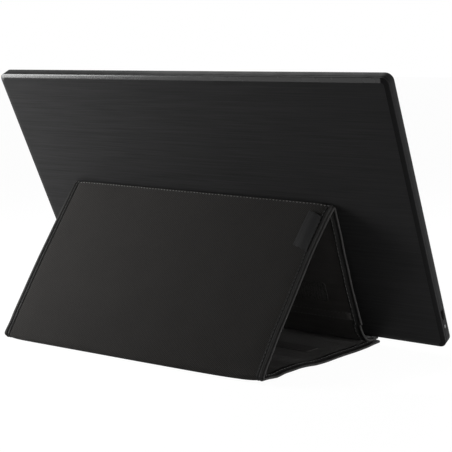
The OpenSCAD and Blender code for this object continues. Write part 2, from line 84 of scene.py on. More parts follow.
FLAP_START = DISPLAY_AT + FLAP_BEFORE
FLAP_END = DISPLAY_AT + DISPLAY_T * math.cos(LEAN) + FLAP_BEYOND
SOFT = 0.8  # thickness of the cloth and of the lining
CLOTH_FROM = 1.8  # distance of a panel's own layers from its fold line
REAR_ROOM = 5.2  # the same at the rear fold, whose line lies askew
LAP = 6.6  # width of the edge tape on either face
CLOTH_IN = LAP - 1.0  # how far in from the cover's edge the cloth starts
BOARD_IN, BOARD_END = 8.2, 8  # how far a board stops short of a side and of a free end
BOARD_OVER, BOARD_UNDER = 0.25, 0.05  # room between a board and the layers round it
FOLD_CORE = 0.45  # nothing in a fold comes nearer to its line
STITCH_IN = 5.25  # distance of the tape's stitches from the cover's edge
TAPE_FINE = 1.6  # distance between sections of tape along a panel
TAPE_STITCH, TOP_STITCH = (2.3, 0.42), (1.6, 0.5)  # length and thread width
SUNK_OUTER, SUNK_FLOOR, SUNK_INNER = 0.26, 0.5, 0.36  # depth of the stitches in the tape
PORT_UP, PORT_DEPTH = 28.9, 4.8  # the port's middle, up from the display's corner
LIGHT_UP, LIGHT_DEPTH = 17.7, 4.9
BUTTON_IN, BUTTON_UP = 33.2, 8.6  # the menu button's middle from the display's corner
BUTTON_RADIUS, BUTTON_GAP = 2.2, 0.15
PATCH_WIDTH = 17
HOOK_AT, LOOP_AT = FRONT_LEN - 18, 91  # where the patches start on the front and floor panels
TAB_TOP = np.array([[-118.9, 9.4], [-106.9, 5.9]])  # outer and inner corners on the rear panel
TAB_LOW = np.array([[-119.3, 42.2], [-105.9, 38.2]])
FAR = 1e3  # further than anything on the cover
FOLDS = ("top_fold", "rear_fold")
WHITE = (1, 1, 1, 1)


def unit(angle):
    return np.array([math.cos(angle), math.sin(angle)])


def ease(t):
    t = min(max(t, 0.0), 1.0)
    return t * t * (3 - 2 * t)


def wander(x, y, z=0.0, scale=0.05):
    """Smooth unevenness from -1 to 1 at a place in millimetres."""
    return noise.noise(Vector((x * scale, y * scale, z)))


# ---------------------------------------------------------------- the folded strip

REAR_OUT = unit(math.pi / 2 + REAR_SLOPE)
REAR_DOWN = -unit(REAR_SLOPE)
FRONT_DOWN = unit(-FRONT_SLOPE)
FRONT_OUT = unit(math.pi / 2 - FRONT_SLOPE)
TOP_TURN = REAR_SLOPE + FRONT_SLOPE
REAR_TURN = math.pi - REAR_SLOPE

CURVE_TOP = TOP_LINE + FRONT_LEN * FRONT_DOWN + PANEL_T * FRONT_OUT
CURVE_HANDLES = (
    CURVE_TOP,
    CURVE_TOP + 19 * FRONT_DOWN,
    np.array([FLAP_START - 13.5, LEDGE_TOP]),
    np.array([FLAP_START, LEDGE_TOP]),
)


def curve_table(count=240):
    """Length, place and direction along the soft curve under the front panel."""
    a, b, c, d = CURVE_HANDLES
    t = np.linspace(0, 1, count)[:, None]
    place = (1 - t) ** 3 * a + 3 * t * (1 - t) ** 2 * b + 3 * t**2 * (1 - t) * c + t**3 * d
    way = 3 * (1 - t) ** 2 * (b - a) + 6 * t * (1 - t) * (c - b) + 3 * t**2 * (d - c)
    way /= np.linalg.norm(way, axis=1)[:, None]
    steps = np.linalg.norm(np.diff(place, axis=0), axis=1)
    return np.concatenate([[0], np.cumsum(steps)]), place, way


CURVE_RUN, CURVE_PLACE, CURVE_WAY = curve_table()
CURVE_LEN = float(CURVE_RUN[-1])
CURVE_END = FRONT_LEN + CURVE_LEN
STRIP_END = CURVE_END + FLAP_END - FLAP_START
FLAP_FROM = CURVE_END - 6  # where the stiff end of the soft curve begins
TAPE_STEP = FRONT_LEN + 17.5
TAPE_INSET = 1.5  # how much further in the tape of the curve and the flap lies
HEM_FROM, HEM_TO, HEM_HEIGHT = FRONT_LEN + 6.5, FRONT_LEN + 13.5, 0.55
PANEL_STEP, CURVE_STEP = 3.2, 1.8  # between stations of the cloth on a panel and on the curve
FOLD_STEP = 0.07  # the same in a fold, as a share of its turn


def front_line(s):
    """Outer place, outward direction and thickness of the front strip, s from the top fold."""
    if s <= FRONT_LEN:
        return TOP_LINE + s * FRONT_DOWN + PANEL_T * FRONT_OUT, FRONT_OUT, PANEL_T
    if s >= CURVE_END:
        return np.array([FLAP_START + s - CURVE_END, LEDGE_TOP]), np.array([0.0, 1.0]), FLAP_T
    run = s - FRONT_LEN
    place = np.array([np.interp(run, CURVE_RUN, CURVE_PLACE[:, k]) for k in (0, 1)])
    way = np.array([np.interp(run, CURVE_RUN, CURVE_WAY[:, k]) for k in (0, 1)])
    way /= np.linalg.norm(way)
    share = run / CURVE_LEN
    return place, np.array([-way[1], way[0]]), PANEL_T + (FLAP_T - PANEL_T) * share


def depth_at(part, s):
    return front_line(s)[2] if part == "front" else PANEL_T


def top_lift(x, away):
    """How far the worn top fold stands above its line, fading with distance from it."""
    low_side, high_side = edges()
    tilt = 1.2 - 3.0 * (high_side - x) / (high_side - low_side)
    droop = math.exp(-(x - low_side) / 7) + 0.7 * math.exp(-(high_side - x) / 6)
    return (tilt - 1.4 * droop) * (1 - ease(away / 60))


def floor_lift(x, s):
    """How far the soft floor panel stands off the ground."""
    low_side, high_side = edges()
    share = 0.4 + 0.6 * (high_side - x) / (high_side - low_side)
    rise = 2 * ease((s - 14) / 16) * (1 - ease((s - 44) / 26))
    wave = 0.22 * (1 + math.sin(s / 7.5 + 0.4)) * ease(s / 20) * (1 - ease((s - 120) / 20))
    return share * (0.8 * rise + wave) + corner_lift(x, s)


def corner_lift(x, away):
    """How far the ends of the rear fold stand off the ground."""
    low_side, high_side = edges()
    return (2.5 * math.exp(-(x - low_side) / 20) * (1 - ease(away / 22))
            + 1.2 * math.exp(-(high_side - x) / 7) * (1 - ease(away / 12)))


# Drift of the worn cover's two side edges: lengths along each part, then how far the edge
# stands off sideways and toward the rear there
LOW_DRIFT = {
    "rear": ((0, 8, 40, 75, 110, 130, 148), (1.0, 2.3, 2.5, 2.3, 3.1, 2.9, 1.9),
             (0, 0, 0, 0, 0, -0.3, -1.0)),
    "front": ((0, 40, 75, 105, 125), (1.2, 0.5, -0.9, -4.8, -5.2), (0, 0, 0.8, 4.4, 5.4)),
    "floor": ((0, 20, 60, 100, 140, 164), (1.9, 1.6, -1.0, -4.6, -6.0, -5.4),
              (-1.0, 0.0, 1.8, 3.9, 5.2, 5.6)),
}
HIGH_DRIFT = {
    "rear": ((0, 40, 75, 110, 130, 148), (4.8, 4.6, 3.8, 2.2, 0.7, -3.2), (0, 0, 0, 0, 1, 3.5)),
    "front": ((0, 30, 60, 88), (4.8, 3.0, 1.0, 0.0), (0, 0, 0, 0)),
    "floor": ((0, 20, 60, 100), (-3.2, -2.4, 0.0, 0.0), (3.5, 3.0, 1.0, 0)),
}


def skew(x, part, s):
    """How far a place on the worn cover lies sideways and to the rear of its straight place."""
    low_side, high_side = edges()
    across = (x - low_side) / (high_side - low_side)
    if part == "top_fold":
        part, s = "front" if s > 0.5 else "rear", 0.0
    elif part == "rear_fold":
        part, s = "floor", 0.0
    low, high = ([float(np.interp(s, at, way)) for way in ways]
                 for at, *ways in (LOW_DRIFT[part], HIGH_DRIFT[part]))
    return (low[0] * (1 - across) ** 3 + high[0] * across,
            low[1] * (1 - across) + high[1] * across)


def in_frame(x, flat, rearward=0.0):
    """Place in the row frame of a point of the side view."""
    return Vector((x, FRONT_TO_BACK - flat[0] + rearward, flat[1])) * MM


def spot(part, x, s, n):
    """Place in the row frame of a point on the folded strip.
    s runs away from the part's fold line, and n out of the inner face."""
    away = FAR
    if part == "rear":
        bow = 0.5 * math.sin(math.pi * min(max(s / REAR_LEN, 0), 1))
        flat = TOP_LINE + s * REAR_DOWN + (n + bow) * REAR_OUT
        away = s
    elif part == "floor":
        flat = REAR_LINE + np.array([s, floor_lift(x, s) - n])
    elif part == "front":
        place, out, depth = front_line(s)
        flat = place + (n - depth) * out
        away = s
    elif part == "top_fold":
        flat = TOP_LINE + n * unit(math.pi / 2 + REAR_SLOPE - s * TOP_TURN)
        away = 0
    else:
        flat = REAR_LINE + n * unit(math.pi / 2 + REAR_SLOPE + s * REAR_TURN)
    flat = flat + top_lift(x, away) * np.array([-math.sin(LEAN), math.cos(LEAN)])
    if part == "rear_fold" or part == "rear" and s > REAR_LEN - 40:
        flat[1] += corner_lift(x, REAR_LEN - s if part == "rear" else 0)
    side, rearward = skew(x, part, s)
    return in_frame(x + side, flat, rearward)


def run_at(part, s):
    """Length along the strip's outer face, for patterns that cross a fold."""
    if part == "rear":
        return -s
    if part == "top_fold":
        return s * PANEL_T * TOP_TURN
    if part == "front":
        return PANEL_T * TOP_TURN + s
    if part == "rear_fold":
        return -REAR_LEN - s * PANEL_T * REAR_TURN
    return -REAR_LEN - PANEL_T * REAR_TURN - s


def on_display(x, up, depth):
    """Place of a point on the display: up its face from the lower edge, depth from its back."""
    return in_frame(x, (DISPLAY_AT + depth * math.cos(LEAN) - up * math.sin(LEAN),
                        DISPLAY_UP + depth * math.sin(LEAN) + up * math.cos(LEAN)))


# ---------------------------------------------------------------- mesh making


def link(name, data):
    """New object in the scene from a mesh, a lamp or a camera."""
    piece = bpy.data.objects.new(name, data)
    bpy.context.scene.collection.objects.link(piece)
    return piece


def smooth_by_angle(mesh, degrees):
    """Shades faces smooth and marks edges sharper than the angle."""
    bm = bmesh.new()
    bm.from_mesh(mesh)
    for f in bm.faces:
        f.smooth = True
    limit = math.radians(degrees)
    for e in bm.edges:
        e.smooth = len(e.link_faces) == 2 and e.calc_face_angle(0) < limit
    bm.to_mesh(mesh)
    bm.free()


def loft(name, loops, finish=None, marks=None, closed=False, degrees=40):
    """Skin over closed loops of points, one after another, with flat ends or closed on itself.
    finish names its material or materials, and marks holds a pattern place for every point."""
    bm = bmesh.new()
    uv = bm.loops.layers.uv.new("UVMap")
    rows = [[bm.verts.new(p) for p in loop] for loop in loops]
    where = {}
    for row, mark in zip(rows, marks or ()):
        where.update(zip(row, mark))
    for a, b in zip(rows, rows[1:] + rows[:1] if closed else rows[1:]):
        for i in range(len(a)):
            j = (i + 1) % len(a)
            bm.faces.new((a[i], a[j], b[j], b[i]))
    if not closed:
        bm.faces.new(reversed(rows[0]))
        bm.faces.new(rows[-1])
    for f in bm.faces:
        for corner in f.loops:
            corner[uv].uv = where.get(corner.vert, (corner.vert.co.x, corner.vert.co.z))
    bmesh.ops.remove_doubles(bm, verts=bm.verts, dist=1e-6)
    bmesh.ops.recalc_face_normals(bm, faces=bm.faces)
    mesh = bpy.data.meshes.new(name)
    bm.to_mesh(mesh)
    bm.free()
    for slot in [finish] if isinstance(finish, str) else finish or ():
        mesh.materials.append(finish_named(slot))
    smooth_by_angle(mesh, degrees)
    return link(name, mesh)


def drop(*pieces):
    """Deletes pieces that others were made from."""
    for piece in pieces:
        mesh = piece.data
        bpy.data.objects.remove(piece)
        bpy.data.meshes.remove(mesh)


def bake_modifiers(piece):
    """Turns the piece with its modifiers into a plain mesh."""
    shown = piece.evaluated_get(bpy.context.evaluated_depsgraph_get())
    mesh = bpy.data.meshes.new_from_object(shown)
    old = piece.data
    piece.modifiers.clear()
    piece.data = mesh
    mesh.name = piece.name
    bpy.data.meshes.remove(old)


def cut(piece, loops):
    """Cuts a closed skin over loops out of a piece."""
    cutter = loft("cutter", loops)
    m = piece.modifiers.new("Cut", "BOOLEAN")
    m.operation, m.solver, m.object = "DIFFERENCE", "EXACT", cutter
    bake_modifiers(piece)
    drop(cutter)


def join(name, pieces):
    """One mesh from several, each keeping its own material."""
    bm = bmesh.new()
    mesh = bpy.data.meshes.new(name)
    for piece in pieces:
        slots = []
        for m in piece.data.materials:
            if m.name not in mesh.materials:
                mesh.materials.append(m)
            slots.append(mesh.materials.find(m.name))
        start = len(bm.faces)
        bm.from_mesh(piece.data)
        bm.faces.ensure_lookup_table()
        for f in bm.faces[start:]:
            f.material_index = slots[f.material_index]
    bm.to_mesh(mesh)
    bm.free()
    drop(*pieces)
    return link(name, mesh)


def samples(a, b, step):
    """Even places from a to b, no further apart than the step."""
    return list(np.linspace(a, b, max(2, int(math.ceil(abs(b - a) / step)) + 1)))


# ---------------------------------------------------------------- node making


class Wire:
    """A value in a tree of nodes. Sums on it add Math nodes."""

    def __init__(self, graph, socket):
        self.graph, self.socket = graph, socket

    def __add__(self, other):
        return self.graph.sum("ADD", self, other)

    def __sub__(self, other):
        return self.graph.sum("SUBTRACT", self, other)

    def __rsub__(self, other):
        return self.graph.sum("SUBTRACT", other, self)

    def __mul__(self, other):
        return self.graph.sum("MULTIPLY", self, other)

    __radd__, __rmul__ = __add__, __mul__


class Graph:
    """A tree of nodes under construction."""

    def __init__(self, tree):
        self.tree = tree
        tree.nodes.clear()

    def node(self, kind, values=(), **settings):
        """Adds a node: settings first, then a value or a link for each named or numbered socket."""
        n = self.tree.nodes.new(kind)
        for key, value in settings.items():
            setattr(n, key, value)
        for key, value in dict(values).items():
            if isinstance(value, Wire):
                value = value.socket
            if isinstance(value, bpy.types.NodeSocket):
                self.tree.links.new(value, n.inputs[key])
            else:
                n.inputs[key].default_value = value
        return n

    def wire(self, output, kind, values=(), **settings):
        """Adds a node and gives one of its outputs as a value."""
        return Wire(self, self.node(kind, values, **settings).outputs[output])

    def sum(self, operation, a, b):
        return self.wire(0, "ShaderNodeMath", {0: a, 1: b}, operation=operation)

    def sine(self, a):
        return self.wire(0, "ShaderNodeMath", {0: a}, operation="SINE")

    def wave(self, way, pitch):
        """Sine along a way that repeats over the pitch in metres."""
        return self.sine(way * (2 * math.pi / pitch))

    def spread(self, a, low, high, new_low=0.0, new_high=1.0):
        """Maps low to high onto new_low to new_high, and no further."""
        return self.wire(0, "ShaderNodeMapRange", {0: a, 1: low, 2: high, 3: new_low, 4: new_high})

    def place(self, kind="Object"):
        return self.node("ShaderNodeTexCoord").outputs[kind]

    def along(self, place, *direction):
        """Distance in metres of a place along a direction."""
        return self.wire("Value", "ShaderNodeVectorMath", {0: place, 1: direction},
                         operation="DOT_PRODUCT")

    def vector(self, x, y, z=0.0):
        return self.node("ShaderNodeCombineXYZ", {0: x, 1: y, 2: z}).outputs[0]

    def noise(self, place, scale, detail=2.0, rough=0.5):
        return self.wire("Fac", "ShaderNodeTexNoise", {
            "Vector": place, "Scale": scale, "Detail": detail, "Roughness": rough})

    def cells(self, place, scale):
        return self.wire("Distance", "ShaderNodeTexVoronoi", {"Vector": place, "Scale": scale})

    def mix(self, share, a, b):
        """Colour between a and b."""
        return self.node("ShaderNodeMix", {"Factor": share, 6: a, 7: b},
                         data_type="RGBA").outputs[2]

    def seen(self, share):
        """The share for rays that come straight from the camera, a mirror or a clear piece."""
        path = self.node("ShaderNodeLightPath")
        rays = [Wire(self, path.outputs[f"Is {kind} Ray"])
                for kind in ("Camera", "Glossy", "Transmission")]
        return self.spread(rays[0] + rays[1] + rays[2], 0, 1, 0, share)


class Finish(Graph):
    """A material under construction."""

    def __init__(self, name, **shader):
        self.material = bpy.data.materials.new(name)
        self.material.use_nodes = True
        super().__init__(self.material.node_tree)
        values = {k.replace("_", " ").title().replace("Ior", "IOR"): v for k, v in shader.items()}
        self.shader = self.node("ShaderNodeBsdfPrincipled", values)
        self.output = self.node("ShaderNodeOutputMaterial", {"Surface": self.shader.outputs[0]})

    def relief(self, height, depth_mm, strength):
        """Bump on the shader's normal."""
        bump = self.node("ShaderNodeBump", {
            "Height": height, "Distance": depth_mm * MM, "Strength": strength})
        self.set("Normal", bump.outputs[0])

    def set(self, socket, value):
        if isinstance(value, Wire):
            value = value.socket
        self.tree.links.new(value, self.shader.inputs[socket])

    def tint(self, tone, colour, dark, light):
        """Runs the base colour from dark to light shades of a colour with the tone."""
        self.set("Base Color", self.mix(tone, shade(colour, dark), shade(colour, light)))


def shade(colour, factor):
    """A colour, or the setting of that name, made lighter or darker."""
    if isinstance(colour, str):
        groups = [getattr(bpy.context.scene, name) for name in SETTINGS]
        colour = next(getattr(group, colour) for group in groups if hasattr(group, colour))
    return tuple(min(1.0, c * factor) for c in colour[:3]) + (1.0,)


MADE = {}


def finish_named(name):
    """Returns the material of that name, making it the first time."""
    if name not in MADE:
        maker, *values = FINISHES[name]
        MADE[name] = maker(name, *values)
    return MADE[name]


def hairline(name, colour):
    """Dark plastic with fine level lines."""
    f = Finish(name, specular_ior_level=0.03)
    place = f.place()
    x = f.along(place, 1, 0, 0)
    up = f.along(place, 0, math.sin(LEAN), math.cos(LEAN))
    depth = f.along(place, 0, math.cos(LEAN), -math.sin(LEAN))
    broad = f.noise(f.vector(x * 14, up * 1000, depth * 40), 1.0, 2.0, 0.55)
    fine = f.noise(f.vector(x * 34, up * 1900, depth * 40), 1.0, 2.0, 0.5)
    lines = f.spread(broad * 0.55 + fine * 0.45, 0.32, 0.68)
    f.tint(lines, colour, 0.78, 1.23)
    f.set("Roughness", f.spread(lines, 0, 1, 0.5, 0.4))
    f.relief(lines, 0.03, 0.4)
    return f.material


def moulded(name, colour, rough, speckle=0.12, gloss=0.25, grain=0.02):
    """Moulded plastic or cast resin: fine grain, faint cloudiness and a soft sheen."""
    f = Finish(name, specular_ior_level=gloss)
    place = f.place()
    cloud = f.noise(place, 60, 3.0)
    fine = f.noise(place, 2400, 2.0)
    tone = f.spread(cloud * 0.6 + fine * 0.4, 0.3, 0.7)
    f.tint(tone, colour, 1 - speckle, 1 + speckle)
    f.set("Roughness", f.spread(cloud, 0.3, 0.7, rough - 0.04, rough + 0.05))
    f.relief(fine, grain, 0.4)
    return f.material


def twill(name, colour):
    """Coarse even weave with a faint slant."""
    f = Finish(name, roughness=0.9, specular_ior_level=0.06, sheen_weight=0.04, sheen_roughness=0.5)
    place = f.place("UV")
    u, v = f.along(place, 1, 0, 0), f.along(place, 0, 1, 0)
    turn = 2 * math.pi / bpy.context.scene.monitor_cover.twill_pitch
    wobble = (f.noise(place, 300, 2.0) - 0.5) * 1.4
    cross = f.sine(u * turn + wobble) * f.sine(v * (turn * 1.8) - wobble)
    rib = f.sine((u + v) * (turn * 2.6) + wobble)
    weave = f.spread(cross * 0.92 + rib * 0.08, -0.5, 0.5)
    cloud = f.noise(place, 26, 4.0, 0.6)
    speck = f.noise(place, 1500, 2.0, 0.7)
    tone = f.spread(weave * 0.8 + speck * 0.2 + cloud * 0.16, 0.16, 1.0)
    f.tint(tone, colour, 0.12, 1.88)
    f.relief(weave * 0.8 + speck * 0.4, 0.3, 0.8)
    return f.material


def leather(name, colour, rough, grain_mm, relief_mm, wear):
    """Grained leatherette, a little lighter and smoother where it is rubbed."""
    f = Finish(name, specular_ior_level=0.04)
    place = f.place()
    pores = f.cells(place, 1 / (grain_mm * MM))
    creases = f.noise(place, 240, 4.0, 0.62)
    cloud = f.noise(place, 34, 3.0)
    tone = f.spread(pores * 0.35 + creases * 0.4 + cloud * 0.35, 0.3, 0.8)
    f.tint(tone, colour, 0.7, 1.35 + wear)
    f.set("Roughness", f.spread(creases, 0.3, 0.7, rough - 0.08, rough + 0.08))
    f.relief(pores * 0.6 + creases, relief_mm, 0.7)
    return f.material


def lining(name, colour):
    """Fine brushed weave, streaked where it has been folded."""
    f = Finish(name, roughness=0.75, specular_ior_level=0.08, sheen_weight=0.03)
    place = f.place("UV")
    u, v = f.along(place, 1, 0, 0), f.along(place, 0, 1, 0)
    weave = f.sine((u + v) * 6400) + f.sine((u - v * 0.8) * 7300)
    streak = f.noise(f.vector(u * 9, v * 130), 1.0, 4.0, 0.6)
    cloud = f.noise(place, 45, 3.0)
    speck = f.noise(place, 1300, 2.0, 0.7)
    tone = f.spread(weave * 0.16 + streak * 0.55 + speck * 0.35 + cloud * 0.35, 0.3, 0.95)
    f.tint(tone, colour, 0.62, 1.4)
    f.relief(weave * 0.2 + streak * 2.5 + speck * 0.4, 0.16, 0.8)
    return f.material


def thread(name, colour):
    """Twisted thread."""
    f = Finish(name, roughness=0.7, sheen_weight=0.2)
    place = f.place()
    twist = f.sine(f.along(place, 1, 0.4, 0.7) * 14000)
    f.tint(f.spread(twist, -1, 1), colour, 0.72, 1.12)
    f.relief(twist, 0.04, 0.6)
    return f.material


def woven_tab(name):
    """Satin ribbon."""
    f = Finish(name, roughness=0.55, specular_ior_level=0.15, sheen_weight=0.05)
    place = f.place("UV")
    warp = f.wave(f.along(place, 1, 0, 0), 0.45 * MM)
    weft = f.wave(f.along(place, 0, 1, 0), 0.9 * MM)
    cloud = f.noise(place, 180, 3.0)
    tone = f.spread(warp * 0.3 + weft * 0.3 + cloud, -0.2, 1.2)
    f.set("Base Color", f.mix(tone, (0.005, 0.005, 0.0052, 1), (0.011, 0.011, 0.0113, 1)))
    f.relief(warp + weft, 0.05, 0.6)
    return f.material


def pile(name, colour, size_mm, depth_mm):
    """Hook or loop tape: a dense field of short bristles or loops."""
    f = Finish(name, roughness=0.9, specular_ior_level=0.2)
    place = f.place()
    tufts = f.cells(place, 1 / (size_mm * MM))
    rows = f.wave(f.along(place, 1, 0, 0), 2.2 * size_mm * MM)
    stray = f.noise(place, 900, 3.0, 0.7)
    tone = f.spread(tufts * 0.8 + stray * 0.5 + rows * 0.1, 0.2, 1.0)
    f.tint(tone, colour, 1.6, 0.5)
    f.relief(rows * 0.15 + stray - tufts, depth_mm, 1.0)
    return f.material


def metal(name, colour, rough):
    """Plated or rolled metal with faint streaks."""
    f = Finish(name, metallic=1.0)
    place = f.place()
    across, along = f.along(place, 0, 1, 1) * 1400, f.along(place, 1, 0, 0) * 60
    streak = f.noise(f.vector(along, across), 1.0, 3.0)
    cloud = f.noise(place, 90, 3.0)
    tone = f.spread(streak * 0.6 + cloud * 0.4, 0.3, 0.7)
    f.tint(tone, colour, 0.86, 1.08)
    f.set("Roughness", f.spread(tone, 0, 1, rough - 0.06, rough + 0.06))
    f.relief(streak, 0.01, 0.3)
    return f.material


def circuit(name):
    """Solder mask over copper tracks, with a few pads."""
    f = Finish(name, roughness=0.38, specular_ior_level=0.5, coat_weight=0.3, coat_roughness=0.2)
    place = f.place()
    x = f.along(place, 1, 0, 0)
    up = f.along(place, 0, math.sin(LEAN), math.cos(LEAN))
    flat = f.vector(x, up)
    tracks = f.spread(f.sine((x + up * 0.02) * 5200) * f.sine(up * 3900), 0.1, 0.3)
    pads = f.spread(f.cells(flat, 420), 0.16, 0.13)
    mask = f.mix(tracks, (0.012, 0.07, 0.032, 1), (0.02, 0.13, 0.06, 1))
    f.set("Base Color", f.mix(pads, mask, (0.62, 0.6, 0.5, 1)))
    f.relief(tracks * 0.4 + pads, 0.03, 0.5)
    return f.material


def screen(name):
    """Dark matt film of a screen that is off."""
    f = Finish(name, roughness=0.3, specular_ior_level=0.5, coat_weight=0.15, coat_roughness=0.35)
    place = f.place()
    grain = f.noise(place, 3800, 2.0)
    cloud = f.noise(place, 12, 2.0)
    f.set("Base Color", f.mix(cloud, (0.0075, 0.0078, 0.0088, 1), (0.0115, 0.012, 0.0135, 1)))
    f.set("Roughness", f.spread(grain, 0.3, 0.7, 0.26, 0.36))
    f.relief(grain, 0.004, 0.4)
    return f.material


def lit(name):
    """Small window lit from behind, its glow varying a little."""
    f = Finish(name, roughness=0.4, emission_strength=0.03)
    glow = f.noise(f.place(), 700, 2.0)
    f.set("Base Color", f.mix(glow, (0.055, 0.057, 0.058, 1), (0.07, 0.072, 0.074, 1)))
    f.set("Emission Color", f.mix(glow, (0.9, 0.93, 0.95, 1), (1.0, 1.0, 1.0, 1)))
    return f.material


def clear(name, colour, rough):
    """Clear or milky sheet."""
    f = Finish(name, transmission_weight=0.6, ior=1.49)
    cloud = f.noise(f.place(), 40, 3.0)
    f.tint(cloud, colour, 0.93, 1.04)
    f.set("Roughness", f.spread(cloud, 0.3, 0.7, rough, rough + 0.1))
    return f.material


def thin_film(name):
    """Amber cable film with copper lines inside."""
    f = Finish(name, roughness=0.35, coat_weight=0.3)
    lines = f.spread(f.sine(f.along(f.place(), 1, 0, 0) * 6283), -0.2, 0.2)
    f.set("Base Color", f.mix(lines, (0.28, 0.12, 0.02, 1), (0.5, 0.25, 0.06, 1)))
    f.relief(lines, 0.02, 0.5)
    return f.material


# Every finish: its maker, then the values its maker takes
FINISHES = {
    "hairline_plastic": (hairline, "back_colour"),
    "frame_plastic": (moulded, "frame_colour", 0.4, 0.05, 0.03, 0.008),
    # dark_plastic also paints shade on the back's bevel beside the port; rim_plastic is the glossier lit copy of
    # that bevel along the top.
    "dark_plastic": (moulded, (0.009, 0.009, 0.0092), 0.5, 0.05, 0.03, 0.008),
    "rim_plastic": (moulded, (0.016, 0.016, 0.0163), 0.26, 0.05, 0.5, 0.002),
    "bezel_plastic": (moulded, (0.014, 0.014, 0.015), 0.42, 0.15),
    "screen_film": (screen,),
    "panel_glass": (clear, (0.6, 0.66, 0.68), 0.06),
    "optical_film": (clear, (0.86, 0.88, 0.9), 0.4),
    "clear_guide": (clear, (0.85, 0.92, 0.95), 0.1),
    "white_film": (moulded, (0.82, 0.82, 0.82), 0.4, 0.03),
    "white_plastic": (moulded, (0.72, 0.72, 0.7), 0.5, 0.05),
    "light_strip": (moulded, (0.75, 0.68, 0.35), 0.5, 0.2),
    "tray_metal": (metal, (0.6, 0.61, 0.63), 0.4),
    "screw_metal": (metal, (0.55, 0.55, 0.56), 0.3),
    "port_metal": (metal, (0.05, 0.048, 0.045), 0.4),
    "contact_metal": (metal, (0.16, 0.11, 0.05), 0.35),
    "circuit_board": (circuit,),
    "chip_resin": (moulded, (0.02, 0.02, 0.022), 0.6, 0.2),
    "port_resin": (moulded, (0.008, 0.008, 0.008), 0.5, 0.05),
    "cable_film": (thin_film,),
    "button_plastic": (moulded, (0.02, 0.02, 0.022), 0.25, 0.1),
    "lit_window": (lit,),
    "foam": (pile, (0.05, 0.05, 0.053), 0.5, 0.1),
    "twill_cloth": (twill, "cloth_colour"),
    "binding_leather": (leather, "tape_colour", 0.42, 0.75, 0.05, 0.1),
    "lining_leather": (lining, "lining_colour"),
    "grey_board": (moulded, (0.28, 0.27, 0.25), 0.9, 0.25, 0.1, 0.08),
    "tab_satin": (woven_tab,),
    "hook_tape": (pile, (0.033, 0.0315, 0.03), 1.1, 0.3),
    "loop_tape": (pile, (0.036, 0.034, 0.0325), 0.6, 0.15),
    "pale_thread": (thread, "top_thread"),
    "dark_thread": (thread, "tape_thread"),
}


# ---------------------------------------------------------------- pieces of the cover


def edges(inset=0.0):
    """Low and high side edges of the cover, or places further in, in millimetres."""
    p = bpy.context.scene.monitor_cover
    mid, half = p.middle / MM, p.width / MM / 2
    return mid - half + inset, mid + half - inset


def proud_at(part, s):
    """How far tape may stand above the outer face without touching what lies next to it."""
    if part == "rear":
        return 0.34
    if part == "top_fold":
        return 0.34 - 0.29 * ease(s * 1.6)
    if part == "front":
        return 0.05 + 0.2 * ease(s / 40) * (1 - ease((s - 110) / 15))
    if part == "rear_fold":
        return 0.34 * (1 - ease(s * 1.3))
    return 0.0


def inner_proud_at(part, s):
    """The same above the inner face."""
    if part in ("rear", "front"):
        start, length = (112, 12) if part == "front" else (REAR_LEN - 9, 8)
        return 0.2 * ease(s / 8) * (1 - ease((s - start) / length)) + 0.04 * ease(s / 2)
    if part == "floor":
        return 0.05 + 0.2 * (1 - ease((s - 130) / 20)) * ease(s / 8)
    return 0.0


def cloth_lie(part, s):
    """How far cloth lies above the outer face on average, and how uneven it is."""
    rear, front, floor = (-0.12, 0.22), (-0.04, 0.06), (-0.32, 0.1)
    ends = {"rear": (rear, rear), "front": (front, front), "floor": (floor, floor),
            "top_fold": (rear, front), "rear_fold": (rear, floor)}[part]
    share = ease(s) if part in FOLDS else 0
    return [a + (b - a) * share for a, b in zip(*ends)]


def hem_at(part, s, away):
    """How far the hem across the lining of the soft curve stands above it."""
    if part != "front":
        return 0.0
    return (HEM_HEIGHT * ease(s - HEM_FROM + 0.5) * (1 - ease(s - HEM_TO + 0.5))
            * ease((away - 0.5) / 3))


def cloth(name, stations, finish, inner=False, free_end=False):
    """A layer of cloth over stations of the strip, as a thin closed sheet.
    It dips where the tape holds it down, and fills the fold at the station of a fold."""
    lo, hi = edges(CLOTH_IN)
    near = [lo + d for d in (0.5, 1.0, 1.6, 2.4, 4.0)]
    xs = sorted(samples(lo, hi, 3.4)[2:-2] + near + [lo + hi - x for x in near] + [lo, hi])
    loops, marks = [], []
    for part, s in stations:
        depth, run = depth_at(part, s), run_at(part, s)
        lie, uneven = cloth_lie(part, s)
        to_end = abs(stations[-1][1] - s) if free_end else FAR
        top, bottom = [], []
        for x in xs:
            to_side = min(x - lo, hi - x)
            gap = min(to_side, to_end)
            dip = 0.2 * math.exp(-((gap / 1.3) ** 2)) + 0.3 * math.exp(-((gap / 6) ** 2))
            rough = 0.5 + 0.5 * wander(x, run, 3.1, 0.035)
            if inner:
                lift = 0.6 * rough * inner_proud_at(part, s) - 0.12 + hem_at(part, s, to_side)
                top.append((x, dip * 0.5 - lift))
                bottom.append((x, SOFT))
            else:
                top.append((x, depth + lie + uneven * rough - dip))
                bottom.append((x, 0.5 if part in FOLDS else depth - SOFT))
        ring = top + bottom[::-1]
        loops.append([spot(part, x, s, n) for x, n in ring])
        marks.append([(x * MM, run * MM) for x, n in ring])
    return loft(name, loops, finish, marks)


def stretch(part, s0, s1, step):
    """Stations along one part of the strip."""
    return [(part, s) for s in samples(s0, s1, step)]


def board(name, part, s0, s1):
    """Stiff sheet between the cloth and the lining."""
    xs = samples(*edges(BOARD_IN), 18)
    loops = []
    for s in samples(s0, s1, 5):
        ring = [(x, depth_at(part, s) - SOFT - BOARD_OVER) for x in xs]
        ring += [(x, SOFT + BOARD_UNDER) for x in xs[::-1]]
        loops.append([spot(part, x, s, n) for x, n in ring])
    return loft(name, loops, "grey_board")


